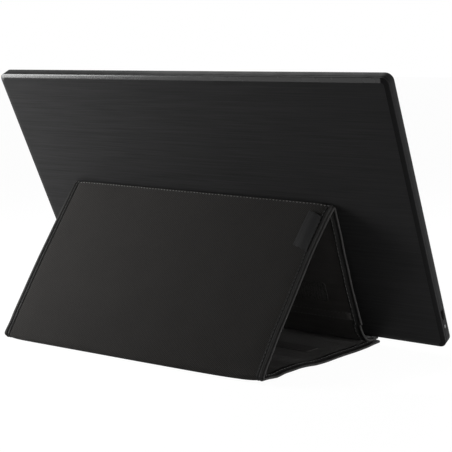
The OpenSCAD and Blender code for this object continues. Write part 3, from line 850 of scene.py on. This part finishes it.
def tape_section(part, s, pucker):
    """Section of edge tape folded round the thinned edge: distance in from it, and height.
    A bead runs along the edge, then a band, then the sunk line of stitches."""
    depth = depth_at(part, s)
    middle = depth / 2
    over = middle + proud_at(part, s) + pucker
    rest = middle + inner_proud_at(part, s) + pucker
    face = [(d, over - h) for d, h in (
        (LAP, 0.9), (LAP - 0.03, 0.55), (LAP - 0.2, 0.36), (LAP - 0.5, 0.3), (STITCH_IN, 0.36),
        (STITCH_IN - 0.6, 0.44), (STITCH_IN - 0.95, 0.56), (STITCH_IN - 1.25, 0.42),
        (STITCH_IN - 1.6, 0.1), (3.2, 0.0), (2.7, 0.03), (2.25, 0.28))]
    face += [(1.75, 1.15), (1.48, 0.98), (1.15, 1.02), (0.8, 1.0), (0.42, 0.84), (0.12, 0.48)]
    under = [(0.12, 0.48), (0.42, 0.84), (0.8, 1.0), (1.15, 0.98), (1.6, 0.95)]
    under += [(d, rest - h) for d, h in (
        (2.2, 0.95), (3.2, 0.75), (4.3, 0.55), (STITCH_IN, 0.34), (LAP - 0.6, 0.16),
        (LAP - 0.2, 0.25), (LAP - 0.03, 0.5), (LAP, 0.85))]
    inside = [(LAP - 0.15, 0.62), (2.4, 0.8), (2.4, depth - 0.8), (LAP - 0.15, depth - 0.62)]
    return ([(d, middle + h) for d, h in face] + [(0.0, middle)]
            + [(d, middle - h) for d, h in under] + inside)


def tape_marks(section, run):
    """Pattern places round a section of tape."""
    apart = 0.4
    return [((d + k * apart) * MM, run * MM) for k, (d, n) in enumerate(section)]


def pucker_at(run, phase, place):
    """How far the stitches draw the tape up and down along its length."""
    return 0.05 * (math.sin(run * 0.95 + phase) + wander(run * 3, place))


def tape_drift(run, side):
    """How far in the tape of a side edge has strayed."""
    return 0.35 * wander(run, 9.0 + side * 5, 0, 0.045) - 0.3


def side_tapes(name, *pieces):
    """Tape on both side edges. Each piece is a part, its ends, and how far in it starts."""
    made = []
    for side in (-1, 1):
        for k, (part, s0, s1, inset) in enumerate(pieces):
            edge, phase = edges(inset)[side > 0], side + k
            loops, marks = [], []
            for s in samples(s0, s1, 0.12 if part in FOLDS else TAPE_FINE):
                run = run_at(part, s)
                drift = tape_drift(run, side)
                pucker = pucker_at(run, phase, phase * 40)
                if part in ("floor", "rear_fold"):
                    pucker = min(pucker, 0.0)
                section = tape_section(part, s, pucker)
                if part in FOLDS:
                    section = [(d, max(n, FOLD_CORE)) for d, n in section]
                loops.append([spot(part, edge - side * (d + drift), s, n) for d, n in section])
                marks.append(tape_marks(section, run))
            made.append(loft(f"{name}_{side}_{k}", loops, "binding_leather", marks))
    return join(name, made)


def rim_tape(name, part, s0, s1, inset=0.0):
    """Tape round a panel's two side edges and its free end, with rounded outer corners."""
    turn, back = 2.6, LAP + 1
    lo, hi = edges(inset)
    quarter = samples(0, math.pi / 2, 0.2)
    stations = [(-1, "edge", s) for s in samples(s0, s1 - back, TAPE_FINE)]
    stations += [(-1, "corner", a) for a in quarter]
    stations += [(0, "end", x) for x in samples(lo + back, hi - back, TAPE_FINE)]
    stations += [(1, "corner", a) for a in quarter[::-1]]
    stations += [(1, "edge", s) for s in samples(s1 - back, s0, TAPE_FINE)]

    def flat(side, kind, value, d):
        """Place on the panel, at a distance in from its rim."""
        if kind == "end":
            return value, s1 - d
        edge = hi if side > 0 else lo
        if kind == "edge":
            return edge - side * d, value
        reach, inward = max(turn - d, 0.0), max(turn, d)
        return (edge - side * (inward - reach * math.cos(value)),
                s1 - inward + reach * math.sin(value))

    loops, marks, run, before = [], [], 0.0, flat(*stations[0], 0.0)
    for station in stations:
        here = flat(*station, 0.0)
        run += math.dist(here, before)
        before = here
        section = tape_section(part, min(max(here[1], s0), s1), -abs(pucker_at(run, 0, 4.0)))
        loop = []
        for d, n in section:
            x, s = flat(*station, d)
            sway = 0.9 * wander(x, s, 7.0, 0.035) if station[1] == "edge" else 0.0
            loop.append(spot(part, x + sway, s, n))
        loops.append(loop)
        marks.append(tape_marks(section, run))
    return loft(name, loops, "binding_leather", marks)


def rounded(half_w, half_h, corner, radius, count):
    """Points round a rectangle whose corners turn about middles the corner distance in."""
    return [(cx * (half_w - corner) + radius * math.cos(a),
             cy * (half_h - corner) + radius * math.sin(a))
            for cx, cy, start in ((1, 1, 0), (-1, 1, 1), (-1, -1, 2), (1, -1, 3))
            for a in np.linspace(start, start + 1, count) * (math.pi / 2)]


def patch(name, part, s0, finish):
    """Two closing patches with rounded corners, a sunk seam line round the border and a raised pile."""
    p = bpy.context.scene.monitor_cover
    half, radius, least = p.patch_length / MM / 2, 2.5, 0.3
    lo, hi = edges(p.patch_inset / MM)
    made = []
    for mid in (lo + half, hi - half):
        loops = []
        for grow, height in ((0.0, -0.02), (0.05, 0.16), (0.5, 0.26), (1.9, 0.3),
                             (2.2, 0.22), (2.6, 0.22), (3.0, 0.4), (3.6, 0.44)):
            ring = rounded(half, PATCH_WIDTH / 2, max(radius, grow + least),
                           max(radius - grow, least), 5)
            loops.append([spot(part, mid + x, s0 + PATCH_WIDTH / 2 + s, -height)
                          for x, s in ring])
        made.append(loft(name, loops, finish))
    return join(name, made)


def stitch_tree():
    """Geometry nodes that lay stitches along every line of a mesh."""
    tree = bpy.data.node_groups.get("Stitch row")
    if tree:
        return tree
    tree = bpy.data.node_groups.new("Stitch row", "GeometryNodeTree")
    for label, direction, kind in (
        ("Geometry", "INPUT", "Geometry"), ("Pitch", "INPUT", "Float"),
        ("Stitch length", "INPUT", "Float"), ("Thread width", "INPUT", "Float"),
        ("Thread", "INPUT", "Material"), ("Geometry", "OUTPUT", "Geometry"),
    ):
        tree.interface.new_socket(label, in_out=direction, socket_type=f"NodeSocket{kind}")
    g = Graph(tree)
    given = g.node("NodeGroupInput").outputs
    line = g.node("GeometryNodeMeshToCurve", {"Mesh": given["Geometry"]})
    even = g.node("GeometryNodeResampleCurve", {
        "Curve": line.outputs[0], "Length": given["Pitch"]}, mode="LENGTH")
    dots = g.node("GeometryNodeCurveToPoints", {"Curve": even.outputs[0]}, mode="EVALUATED")
    bead = g.node("GeometryNodeMeshUVSphere", {"Segments": 6, "Rings": 5, "Radius": 1.0})
    half = Wire(g, given["Stitch length"]) * 0.5
    thin = Wire(g, given["Thread width"]) * 0.5
    shaped = g.node("GeometryNodeTransform", {
        "Geometry": bead.outputs[0], "Scale": g.vector(thin, thin, half)})
    vary = g.node("FunctionNodeRandomValue", {2: 0.86, 3: 1.1, "Seed": 7}, data_type="FLOAT")
    laid = g.node("GeometryNodeInstanceOnPoints", {
        "Points": dots.outputs["Points"], "Instance": shaped.outputs[0],
        "Rotation": dots.outputs["Rotation"], "Scale": vary.outputs[1]})
    real = g.node("GeometryNodeRealizeInstances", {"Geometry": laid.outputs[0]})
    dyed = g.node("GeometryNodeSetMaterial", {
        "Geometry": real.outputs[0], "Material": given["Thread"]})
    g.node("NodeGroupOutput", {"Geometry": dyed.outputs[0]})
    return tree


def stitches(name, rows, pitch, size, finish):
    """Rows of stitches as one mesh. Each row is a list of places in the row frame."""
    length, width = size
    points, lines = [], []
    for row in rows:
        lines += [(len(points) + k, len(points) + k + 1) for k in range(len(row) - 1)]
        points += row
    mesh = bpy.data.meshes.new(name)
    mesh.from_pydata([tuple(p) for p in points], lines, [])
    piece = link(name, mesh)
    modifier = piece.modifiers.new("Stitches", "NODES")
    modifier.node_group = stitch_tree()
    values = {"Pitch": pitch, "Stitch length": length * MM, "Thread width": width * MM,
              "Thread": finish_named(finish)}
    for item in modifier.node_group.interface.items_tree:
        if item.in_out == "INPUT" and item.name in values:
            modifier[item.identifier] = values[item.name]
    bake_modifiers(piece)
    if len(piece.data.polygons) < 12:
        raise RuntimeError(f"{name} has no stitches")
    smooth_by_angle(piece.data, 80)
    return piece


def tape_rows(part, s0, s1, inset=0.0):
    """Lines for the stitches that hold the tape of both side edges, outside and inside."""
    rows = []
    for side, edge in zip((-1, 1), edges(inset)):
        for outer in (True, False):
            row = []
            for s in samples(s0, s1, 1.5):
                n = SUNK_INNER - inner_proud_at(part, s)
                if outer:
                    n = depth_at(part, s) + proud_at(part, s)
                    n -= SUNK_FLOOR if part == "floor" else SUNK_OUTER
                drift = tape_drift(run_at(part, s), side)
                row.append(spot(part, edge - side * (STITCH_IN + drift), s, n))
            rows.append(row)
    return rows


def dress(piece, slot, nodes=(), body=None, blend=None):
    """Ties a finished piece to the body that carries it, or fixes it in place where it lies between two, and hides
    the nodes it stands for.
    """
    if blend:
        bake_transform(piece)
    else:
        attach(piece, body)
    if nodes:
        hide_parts(*nodes)
    return piece


def sew_tape(name, rows, **tied):
    """Dark stitches along rows on the tape."""
    pitch = bpy.context.scene.monitor_cover.tape_pitch
    dress(stitches(name, rows, pitch, TAPE_STITCH, "dark_thread"), "binding_leather", **tied)


def layer(name, stations, finish, length, nodes=(), rests_on=(), inner=False, free_end=False,
          **tied):
    """A layer of cloth, tied to the body that carries it or fixed in place where it lies between two."""
    lo, hi = edges(CLOTH_IN)
    piece = dress(cloth(name, stations, finish, inner, free_end), finish, nodes, **tied)
    (hi - lo) * MM
    length * MM


def panel(body, part, s0, s1, free_end=False, board_from=None, step=PANEL_STEP,
          outside="twill_cloth"):
    """The layers of one panel: board, cloth and lining."""
    stiff = board(f"{body}_board", part, board_from or s0, s1 - (BOARD_END if free_end else 0))
    dress(stiff, "grey_board", [f"{body}_stiffener"], body)
    end = s1 - CLOTH_IN if free_end else s1
    for name, finish, node in (("cloth", outside, "fabric"), ("inner", "lining_leather", "lining")):
        layer(f"{body}_{name}", stretch(part, s0, end, step), finish, end - s0,
              [f"{body}_{node}"], [stiff], name == "inner", free_end, body=body)


# ---------------------------------------------------------------- pieces of the display


def round_loop(half_w, half_h, mid, radius, depth):
    """Points round a rectangle with rounded corners on the display, at one depth."""
    return [on_display(x, mid + up, depth)
            for x, up in rounded(half_w, half_h, radius, radius, 7)]


def shell_loops(*profile):
    """Loops round the display from pairs of inset and depth."""
    p = bpy.context.scene.monitor_display
    half_w, half_h, radius = p.width / MM / 2, p.height / MM / 2, p.corner_radius / MM
    return [round_loop(half_w - inset, half_h - inset, half_h, max(radius - inset, 0.6), depth)
            for inset, depth in profile]


def button_ring(radius, depth):
    """Points round the menu button, at one depth of the display."""
    x = bpy.context.scene.monitor_display.width / MM / 2 - BUTTON_IN
    return [on_display(x + radius * math.cos(a), BUTTON_UP + radius * math.sin(a), depth)
            for a in np.linspace(0, 2 * math.pi, 33)[:-1]]


def stadium(x, up, depth, length, width):
    """Points round a slot with round ends in the display's side, at one place along X."""
    r = width / 2
    return [on_display(x, up + sign * (length / 2 - r + r * math.sin(a)),
                       depth + sign * r * math.cos(a))
            for sign in (1, -1) for a in np.linspace(0, math.pi, 8)]


def tint_faces(piece, test, index):
    """Gives another of its materials to the faces whose middle passes the test."""
    for f in piece.data.polygons:
        if test(f.center):
            f.material_index = index


# ---------------------------------------------------------------- settings


class MonitorDisplaySettings(bpy.types.PropertyGroup):
    """Sizes and colours of the display"""

    width: bpy.props.FloatProperty(
        name="Width", description="Width of the display", default=0.3824, unit="LENGTH")
    height: bpy.props.FloatProperty(
        name="Height", description="Height of the display along its face", default=0.2354,
        unit="LENGTH")
    thickness: bpy.props.FloatProperty(
        name="Thickness", description="Thickness of the display", default=0.0095, unit="LENGTH")
    corner_radius: bpy.props.FloatProperty(
        name="Corner radius", description="Radius of the outer corners", default=0.006,
        unit="LENGTH")
    side_border: bpy.props.FloatProperty(
        name="Side border", description="Border beside the visible screen", default=0.0191,
        unit="LENGTH")
    upper_border: bpy.props.FloatProperty(
        name="Upper border", description="Border above the visible screen", default=0.019,
        unit="LENGTH")
    lower_border: bpy.props.FloatProperty(
        name="Lower border", description="Border below the visible screen", default=0.0229,
        unit="LENGTH")
    back_colour: bpy.props.FloatVectorProperty(
        name="Back colour", description="Colour of the hairline back", subtype="COLOR",
        default=(0.026, 0.026, 0.0264), min=0, max=1)
    frame_colour: bpy.props.FloatVectorProperty(
        name="Frame colour", description="Colour of the smooth side frame", subtype="COLOR",
        default=(0.0095, 0.0095, 0.0098), min=0, max=1)


class MonitorCoverSettings(bpy.types.PropertyGroup):
    """Sizes and colours of the cover"""

    width: bpy.props.FloatProperty(
        name="Width", description="Width of the cover", default=0.2638, unit="LENGTH")
    middle: bpy.props.FloatProperty(
        name="Middle", description="Place of the cover's middle along X", default=0.0078,
        unit="LENGTH")
    patch_length: bpy.props.FloatProperty(
        name="Patch length", description="Length of each closing patch", default=0.06,
        unit="LENGTH")
    patch_inset: bpy.props.FloatProperty(
        name="Patch inset", description="Distance of the patches from the side edges",
        default=0.024, unit="LENGTH")
    stitch_pitch: bpy.props.FloatProperty(
        name="Top stitch pitch", description="Pitch of the stitches along the top fold",
        default=0.0031, unit="LENGTH")
    tape_pitch: bpy.props.FloatProperty(
        name="Tape stitch pitch", description="Pitch of the stitches on the edge tape",
        default=0.0033, unit="LENGTH")
    twill_pitch: bpy.props.FloatProperty(
        name="Weave pitch", description="Distance over which the cloth's weave repeats",
        default=0.00215, unit="LENGTH")
    cloth_colour: bpy.props.FloatVectorProperty(
        name="Cloth colour", description="Colour of the outer twill", subtype="COLOR",
        default=(0.0325, 0.031, 0.0295), min=0, max=1)
    tape_colour: bpy.props.FloatVectorProperty(
        name="Tape colour", description="Colour of the edge tape", subtype="COLOR",
        default=(0.021, 0.0206, 0.0203), min=0, max=1)
    lining_colour: bpy.props.FloatVectorProperty(
        name="Lining colour", description="Colour of the lining", subtype="COLOR",
        default=(0.042, 0.0395, 0.0378), min=0, max=1)
    top_thread: bpy.props.FloatVectorProperty(
        name="Top thread", description="Colour of the thread along the top fold",
        subtype="COLOR", default=(0.27, 0.27, 0.265), min=0, max=1)
    tape_thread: bpy.props.FloatVectorProperty(
        name="Tape thread", description="Colour of the thread on the edge tape",
        subtype="COLOR", default=(0.036, 0.036, 0.0352), min=0, max=1)


class MonitorStageSettings(bpy.types.PropertyGroup):
    """Colour of the floor, and the camera's lens"""

    floor_colour: bpy.props.FloatVectorProperty(
        name="Floor colour", description="Colour of the floor", subtype="COLOR",
        default=(0.86, 0.86, 0.86), min=0, max=1)
    lens: bpy.props.FloatProperty(
        name="Lens", description="Focal length of the camera in millimetres", default=96.12,
        min=20, max=300)


# ---------------------------------------------------------------- operators


class MONITOR_OT_shells(bpy.types.Operator):
    """Build the display's hairline back and its front frame"""

    bl_idname = "monitor.shells"
    bl_label = "Display Shells"

    def execute(self, context):
        p = context.scene.monitor_display
        half_w, half_h, thick = p.width / MM / 2, p.height / MM / 2, p.thickness / MM
        flat_back = on_display(0, 0, 0)
        normal = (on_display(0, 0, 1) - flat_back).normalized()
        rim_from, side_from = 0.003, 0.62  # depths where the back turns and where its side starts
        upper = on_display(0, 2 * half_h, 0).z - 6 * MM
        port_side = (7 - half_w) * MM

        def depth_of(place):
            return (place - flat_back).dot(normal) / MM

        back = loft("back_shell", shell_loops(
            (1.62, 1.5), (1.6, 2.52), (0.62, 2.52), (0.5, 2.46), (0.16, 2.42), (0.03, 2.3),
            (0.0, 2.1), (0.0, 0.9), (0.03, 0.74), (0.1, 0.66), (0.22, 0.6), (1.5, 0.37),
            (2.8, 0.1), (3.1, 0.04), (3.4, 0.008), (3.8, 0.0),
        ), ("hairline_plastic", "frame_plastic", "rim_plastic", "dark_plastic"), degrees=30)
        # One bevel, three finishes: its top faces take the glossier rim plastic to catch a highlight, and its
        # faces beside the port take the darker matt plastic as painted shade.
        tint_faces(back, lambda c: depth_of(c) > rim_from and c.z > upper, 2)
        tint_faces(back, lambda c: depth_of(c) > rim_from and c.x < port_side, 3)
        tint_faces(back, lambda c: depth_of(c) > side_from, 1)
        dress(back, "hairline_plastic", ["back_cover"], "display")

        low, high = p.lower_border / MM, p.upper_border / MM
        window_w, window_h = half_w - p.side_border / MM, half_h - (low + high) / 2
        mid, screen_at = half_h + (low - high) / 2, thick - 1.18
        loops = shell_loops(
            (1.6, 2.66), (0.55, 2.66), (0.42, 2.72), (0.12, 2.78), (0.02, 2.92), (0.0, 3.2),
            (0.0, thick - 1.0), (0.06, thick - 0.62), (0.22, thick - 0.3), (0.5, thick - 0.1),
            (0.9, thick - 0.015), (1.4, thick))
        loops += [round_loop(window_w + grow, window_h + grow, mid, 0.8 + grow, depth)
                  for grow, depth in ((0.6, thick), (0.2, thick - 0.06), (0.0, thick - 0.3),
                                      (0.0, screen_at))]
        loops += shell_loops((1.6, screen_at))
        bezel = loft("bezel_shell", loops, ("bezel_plastic", "frame_plastic"),
                     closed=True, degrees=30)
        tint_faces(bezel, lambda c: depth_of(c) < thick - 0.35, 1)
        for slot in ((PORT_UP, PORT_DEPTH, 9.6, 3.9), (LIGHT_UP, LIGHT_DEPTH, 3.5, 2.3)):
            cut(bezel, [stadium(x - half_w, *slot) for x in (-2, 4)])
        cut(bezel, [button_ring(BUTTON_RADIUS + BUTTON_GAP, thick + d) for d in (-2, 1)])
        smooth_by_angle(bezel.data, 30)
        dress(bezel, "bezel_plastic", ["front_bezel"], "display")
        return {"FINISHED"}


class MONITOR_OT_fittings(bpy.types.Operator):
    """Build the port, the lit window and the menu button"""

    bl_idname = "monitor.fittings"
    bl_label = "Display Fittings"

    def execute(self, context):
        p = context.scene.monitor_display
        edge, thick = -p.width / MM / 2, p.thickness / MM
        mouth = edge + 0.35

        def bar(name, finish, stations, up=0.0):
            """Square bar in the port. Each station is a place, half a length and half a width."""
            return loft(name, [
                [on_display(mouth + x, PORT_UP + up + a * half_l, PORT_DEPTH + b * half_w)
                 for a, b in ((-1, -1), (1, -1), (1, 1), (-1, 1))]
                for x, half_l, half_w in stations], finish)

        can = loft("port_can", [
            stadium(mouth + x, PORT_UP, PORT_DEPTH, 9.0 + grow, 3.2 + grow)
            for grow, x in ((0.0, 7.4), (0.0, 0.15), (-0.12, 0.0), (-0.42, 0.0), (-0.55, 0.25),
                            (-0.6, 6.6))], "port_metal", degrees=35)
        half_l, half_w, taper = 2.9, 0.34, 0.25
        tongue = bar("port_tongue", "port_resin", (
            (1.0, half_l - taper, half_w - taper / 3), (1.2, half_l, half_w),
            (6.7, half_l, half_w)))
        pins = [bar(f"pin_{k}", "contact_metal", ((1.35, 0.13, 0.4), (5.5, 0.13, 0.4)), up)
                for k, up in enumerate(np.linspace(-2.45, 2.45, 12))]
        port = join("port_shell", [can, tongue] + pins)
        dress(port, "port_metal", ["usb_port"], "display")

        window = loft("light_lens", [
            stadium(edge + x, LIGHT_UP, LIGHT_DEPTH, 3.2 + grow, 2.0 + grow)
            for grow, x in ((0.0, 3.4), (0.0, 0.18), (-0.2, 0.06), (-0.9, 0.02))
        ], "lit_window", degrees=50)
        dress(window, "lit_window", ["light_window"], "display")

        button = loft("button_cap", [button_ring(BUTTON_RADIUS + grow, thick + d) for grow, d in (
            (0.8, -2.0), (0.8, -1.32), (0.0, -1.3), (0.0, 0.1), (-0.08, 0.22), (-0.25, 0.29),
            (-0.6, 0.3), (-1.3, 0.22), (-1.95, 0.18))], "button_plastic", degrees=35)
        dress(button, "button_plastic", ["menu_button"], "menu_button")
        return {"FINISHED"}


class MONITOR_OT_panels(bpy.types.Operator):
    """Build the cover's rear, front and floor panels and its flap"""

    bl_idname = "monitor.panels"
    bl_label = "Cover Panels"

    def execute(self, context):
        panel("rear_panel", "rear", CLOTH_FROM, REAR_LEN - REAR_ROOM)
        panel("floor_panel", "floor", REAR_ROOM, FLAP_END, True)
        panel("front_panel", "front", CLOTH_FROM, FRONT_LEN)
        panel("flap", "front", FLAP_FROM, STRIP_END, True, CURVE_END + 0.3, CURVE_STEP,
              "lining_leather")
        return {"FINISHED"}


class MONITOR_OT_folds(bpy.types.Operator):
    """Build the cloth that turns round the folds and the soft curve above the flap"""

    bl_idname = "monitor.folds"
    bl_label = "Cover Folds"

    def execute(self, context):
        def ends(*places):
            """Two places either side of a fold, in the row frame."""
            return [tuple(in_frame(0.0, flat)) for flat in places]

        for fold, after, line, turn, room, ways in (
            ("top_fold", "front", TOP_LINE, TOP_TURN, CLOTH_FROM, (REAR_DOWN, FRONT_DOWN)),
            ("rear_fold", "floor", REAR_LINE, REAR_TURN, REAR_ROOM, (-REAR_DOWN, unit(0.0))),
        ):
            blend = ("rear_panel", f"{after}_panel", *ends(*(line + room * way for way in ways)))
            middle = [(fold, t) for t in samples(0, 1, FOLD_STEP)]
            if fold == "top_fold":
                run = [("rear", room)] + middle + [("front", room)]
                before = ("rear", 0.0, room, 0.0)
            else:
                run = [("rear", REAR_LEN - s) for s in (room, CLOTH_FROM)] + middle
                run += [("floor", s) for s in (CLOTH_FROM, room)]
                before = ("rear", REAR_LEN - room, REAR_LEN, 0.0)
                low = [("rear", REAR_LEN - s) for s in (room, 0.5)]
                low += [("floor", s) for s in (0.5, room)]
                layer("rear_fold_inner", low, "lining_leather", 2 * room, inner=True, blend=blend)
            layer(f"{fold}_cloth", run, "twill_cloth", PANEL_T * turn + 2 * room, [fold],
                  blend=blend)
            tape = side_tapes(f"{fold}_tape", before, (fold, 0.0, 1.0, 0.0),
                              (after, 0.0, room, 0.0))
            dress(tape, "binding_leather", blend=blend)

        low, high = front_line(FLAP_FROM)[0], front_line(FRONT_LEN + 2)[0]
        blend = ("flap", "front_panel", *ends(low, high))
        run = stretch("front", FRONT_LEN, FLAP_FROM, CURVE_STEP)
        hem = sorted(run + [("front", s + d) for s in (HEM_FROM, HEM_TO) for d in (-0.5, 0, 0.5)])
        for name, stations in (("curve_cloth", run), ("curve_inner", hem)):
            layer(name, stations, "lining_leather", FLAP_FROM - FRONT_LEN, ["front_fold"],
                  inner=stations is hem, blend=blend)
        tape = side_tapes("curve_tape", ("front", FRONT_LEN, TAPE_STEP, 0.0),
                          ("front", TAPE_STEP - 1.2, FLAP_FROM, TAPE_INSET))
        dress(tape, "binding_leather", blend=blend)
        rows = [[spot("front", x, s, 0.1 - HEM_HEIGHT) for x in samples(*edges(7), 3)]
                for s in (HEM_FROM + 0.9, HEM_TO - 0.9)]
        rows += tape_rows("front", FRONT_LEN + 1, TAPE_STEP - 1)
        rows += tape_rows("front", TAPE_STEP, FLAP_FROM - 1, TAPE_INSET)
        sew_tape("curve_stitching", rows, blend=blend)
        return {"FINISHED"}


class MONITOR_OT_tapes(bpy.types.Operator):
    """Build the edge tape of the panels and the flap"""

    bl_idname = "monitor.tapes"
    bl_label = "Edge Tapes"

    def execute(self, context):
        for body, make, *where in (
            ("rear_panel", side_tapes, ("rear", CLOTH_FROM, REAR_LEN - REAR_ROOM, 0.0)),
            ("front_panel", side_tapes, ("front", CLOTH_FROM, FRONT_LEN, 0.0)),
            ("floor_panel", rim_tape, "floor", REAR_ROOM, FLAP_END),
            ("flap", rim_tape, "front", FLAP_FROM, STRIP_END, TAPE_INSET),
        ):
            dress(make(f"{body}_tape", *where), "binding_leather", [f"{body}_binding"], body)
        return {"FINISHED"}


class MONITOR_OT_stitching(bpy.types.Operator):
    """Sew the top fold and the edge tapes"""

    bl_idname = "monitor.stitching"
    bl_label = "Stitching"

    def execute(self, context):
        lo, hi = edges()
        row = [spot("top_fold", x, 0.13 + 0.05 * wander(x, 2.0, 0, 0.08), PANEL_T + 0.05)
               for x in samples(lo + 4.5, hi - 3.0, 2.0)]
        pitch = context.scene.monitor_cover.stitch_pitch
        top = stitches("top_stitching", [row], pitch, TOP_STITCH, "pale_thread")
        dress(top, "twill_cloth", body="rear_panel")
        for part, *ends in (("rear", 1.5, REAR_LEN - REAR_ROOM), ("front", 1.5, FRONT_LEN - 1.0),
                            ("floor", REAR_ROOM, FLAP_END - 8)):
            body = f"{part}_panel"
            sew_tape(f"{body}_stitching", tape_rows(part, *ends), body=body)
        return {"FINISHED"}


class MONITOR_OT_trims(bpy.types.Operator):
    """Build the closing patches and the blank label tab"""

    bl_idname = "monitor.trims"
    bl_label = "Cover Trims"

    def execute(self, context):
        for kind, part, s0 in (("hook", "front", HOOK_AT), ("loop", "floor", LOOP_AT)):
            slot = f"{kind}_tape"
            dress(patch(f"{kind}_pads", part, s0, slot), slot, [f"{kind}_patches"],
                  f"{part}_panel")

        length, width, thick = 33.2, TAB_TOP[1][0] - TAB_TOP[0][0], 0.36
        loops, marks = [], []
        for v in np.linspace(0, 1, 17):
            line = []
            for u in np.linspace(0, 1, 15):
                high, low = (outer * (1 - u) + inner * u for outer, inner in (TAB_TOP, TAB_LOW))
                x, s = high * (1 - v) + low * v
                lift = 0.12 + 0.8 * math.exp(-(((u - 0.5) / 0.3) ** 2))
                lift += 0.25 * ease(u) * (1 + math.sin(v * 2.6 + 0.3))
                line.append((x, s, PANEL_T + lift, u * width))
            x, s, n, u = line[-1]
            ring = [(x, s, n + thick, u) for x, s, n, u in line]
            ring += [(x + 0.22, s, n + thick / 2, width + 0.3)]
            ring += [(x, s, n, 2 * width - u) for x, s, n, u in line[::-1]]
            ring += [(x, s, n + 0.15, u) for x, s, n, u in line[:-1]]
            ring += [(x, s, n + 0.21, u) for x, s, n, u in line[-2::-1]]
            loops.append([spot("rear", x, s, n) for x, s, n, u in ring])
            marks.append([(u * MM, v * 33 * MM) for x, s, n, u in ring])
        tab = loft("label_tab_cloth", loops, "tab_satin", marks)
        dress(tab, "tab_satin", ["label_tab"], "rear_panel")
        return {"FINISHED"}


class MONITOR_OT_inner_parts(bpy.types.Operator):
    """Give the parts inside the display their finishes"""

    bl_idname = "monitor.inner_parts"
    bl_label = "Inner Parts"

    def execute(self, context):
        slots = {s["node"]: s["material_slot"] for s in frame["record"]["subparts"]}
        for name, node in frame["nodes"].items():
            node.data.materials.clear()
            node.data.materials.append(finish_named(slots[name]))
        return {"FINISHED"}


class MONITOR_OT_stage(bpy.types.Operator):
    """Set up the floor, the lamps, the sky and the camera"""

    bl_idname = "monitor.stage"
    bl_label = "Stage"

    def execute(self, context):
        scene = context.scene
        scene.view_settings.view_transform = "Standard"

        f = Finish("floor_paint", roughness=0.8, specular_ior_level=0.1)
        f.tint(f.noise(f.place(), 3.0), "floor_colour", 0.99, 1.0)
        white = f.node("ShaderNodeEmission", {"Color": WHITE, "Strength": 1.08})
        both = f.node("ShaderNodeMixShader", {
            0: f.seen(0.9), 1: f.shader.outputs[0], 2: white.outputs[0]})
        f.tree.links.new(both.outputs[0], f.output.inputs["Surface"])
        mesh = bpy.data.meshes.new("floor")
        reach, down = 9, -0.0004
        mesh.from_pydata([(x * reach, y * reach, down) for x, y in
                          ((-1, -1), (1, -1), (1, 1), (-1, 1))], [], [(0, 1, 2, 3)])
        mesh.materials.append(f.material)
        link("floor", mesh)

        scene.world = bpy.data.worlds.new("studio")
        scene.world.use_nodes = True
        sky = Graph(scene.world.node_tree)
        soft, white = (sky.node("ShaderNodeBackground", {0: WHITE, 1: strength})
                       for strength in (0.03, 1.0))
        both = sky.node("ShaderNodeMixShader", {
            0: sky.seen(1.0), 1: soft.outputs[0], 2: white.outputs[0]})
        sky.node("ShaderNodeOutputWorld", {0: both.outputs[0]})

        def stand(name, data, place, way, roll=0.0):
            """Puts a lamp or the camera at its place, looking along a way."""
            holder = link(name, data)
            holder.location = place
            turn = way.to_track_quat("-Z", "Y") @ Quaternion((0, 0, 1), roll)
            holder.rotation_euler = turn.to_euler()
            return holder

        for name, place, aim, size, power in (
            ("key", (0.44, 0.26, 0.2), (0.1, 0.02, 0.11), 0.28, 2.8),
            ("side", (-0.9, -0.035, 0.06), (-0.15, 0.0, 0.06), 0.11, 6.6),
            ("low", (-0.24, 0.02, 0.02), (-0.19, -0.03, 0.02), 0.02, 0.012),
            ("behind", (0.32, -0.5, 0.8), (0.0, 0.02, 0.2), 0.6, 3.0),
        ):
            lamp = bpy.data.lights.new(name, "AREA")
            lamp.energy, lamp.size = power, size
            stand(name, lamp, place, Vector(aim) - Vector(place)).visible_camera = False

        eye = bpy.data.cameras.new("camera")
        eye.lens, eye.sensor_width = scene.monitor_stage.lens, 36
        eye.clip_start, eye.clip_end = 0.01, 50
        yaw, dip, roll = (math.radians(a) for a in (36.062, 8.243, -0.253))
        level = math.cos(dip)
        way = Vector((math.sin(yaw) * level, -math.cos(yaw) * level, -math.sin(dip)))
        scene.camera = stand("camera", eye, (-0.5936, 0.7739, 0.2366), way, roll)
        return {"FINISHED"}


class MONITOR_PT_panel(bpy.types.Panel):
    """Sizes and colours of the monitor and its cover, and the steps that build them"""

    bl_idname = "MONITOR_PT_panel"
    bl_label = "Portable Monitor"
    bl_space_type = "VIEW_3D"
    bl_region_type = "UI"
    bl_category = "Monitor"

    def draw(self, context):
        for name, group in SETTINGS.items():
            box = self.layout.box()
            for value in group.__annotations__:
                box.prop(getattr(context.scene, name), value)
        for operator in OPERATORS:
            self.layout.operator(operator.bl_idname)


SETTINGS = {
    "monitor_display": MonitorDisplaySettings,
    "monitor_cover": MonitorCoverSettings,
    "monitor_stage": MonitorStageSettings,
}
OPERATORS = (
    MONITOR_OT_inner_parts,
    MONITOR_OT_stage,
    MONITOR_OT_shells,
    MONITOR_OT_fittings,
    MONITOR_OT_panels,
    MONITOR_OT_folds,
    MONITOR_OT_tapes,
    MONITOR_OT_stitching,
    MONITOR_OT_trims,
)


def register():
    for name, group in SETTINGS.items():
        bpy.utils.register_class(group)
        setattr(bpy.types.Scene, name, bpy.props.PointerProperty(type=group))
    for operator in OPERATORS:
        bpy.utils.register_class(operator)
    bpy.utils.register_class(MONITOR_PT_panel)


def unregister():
    bpy.utils.unregister_class(MONITOR_PT_panel)
    for operator in reversed(OPERATORS):
        bpy.utils.unregister_class(operator)
    for name, group in SETTINGS.items():
        delattr(bpy.types.Scene, name)
        bpy.utils.unregister_class(group)


def main():
    register()
    for operator in OPERATORS:
        group, name = operator.bl_idname.split(".")
        getattr(getattr(bpy.ops, group), name)()


if __name__ == "__main__":
    main()
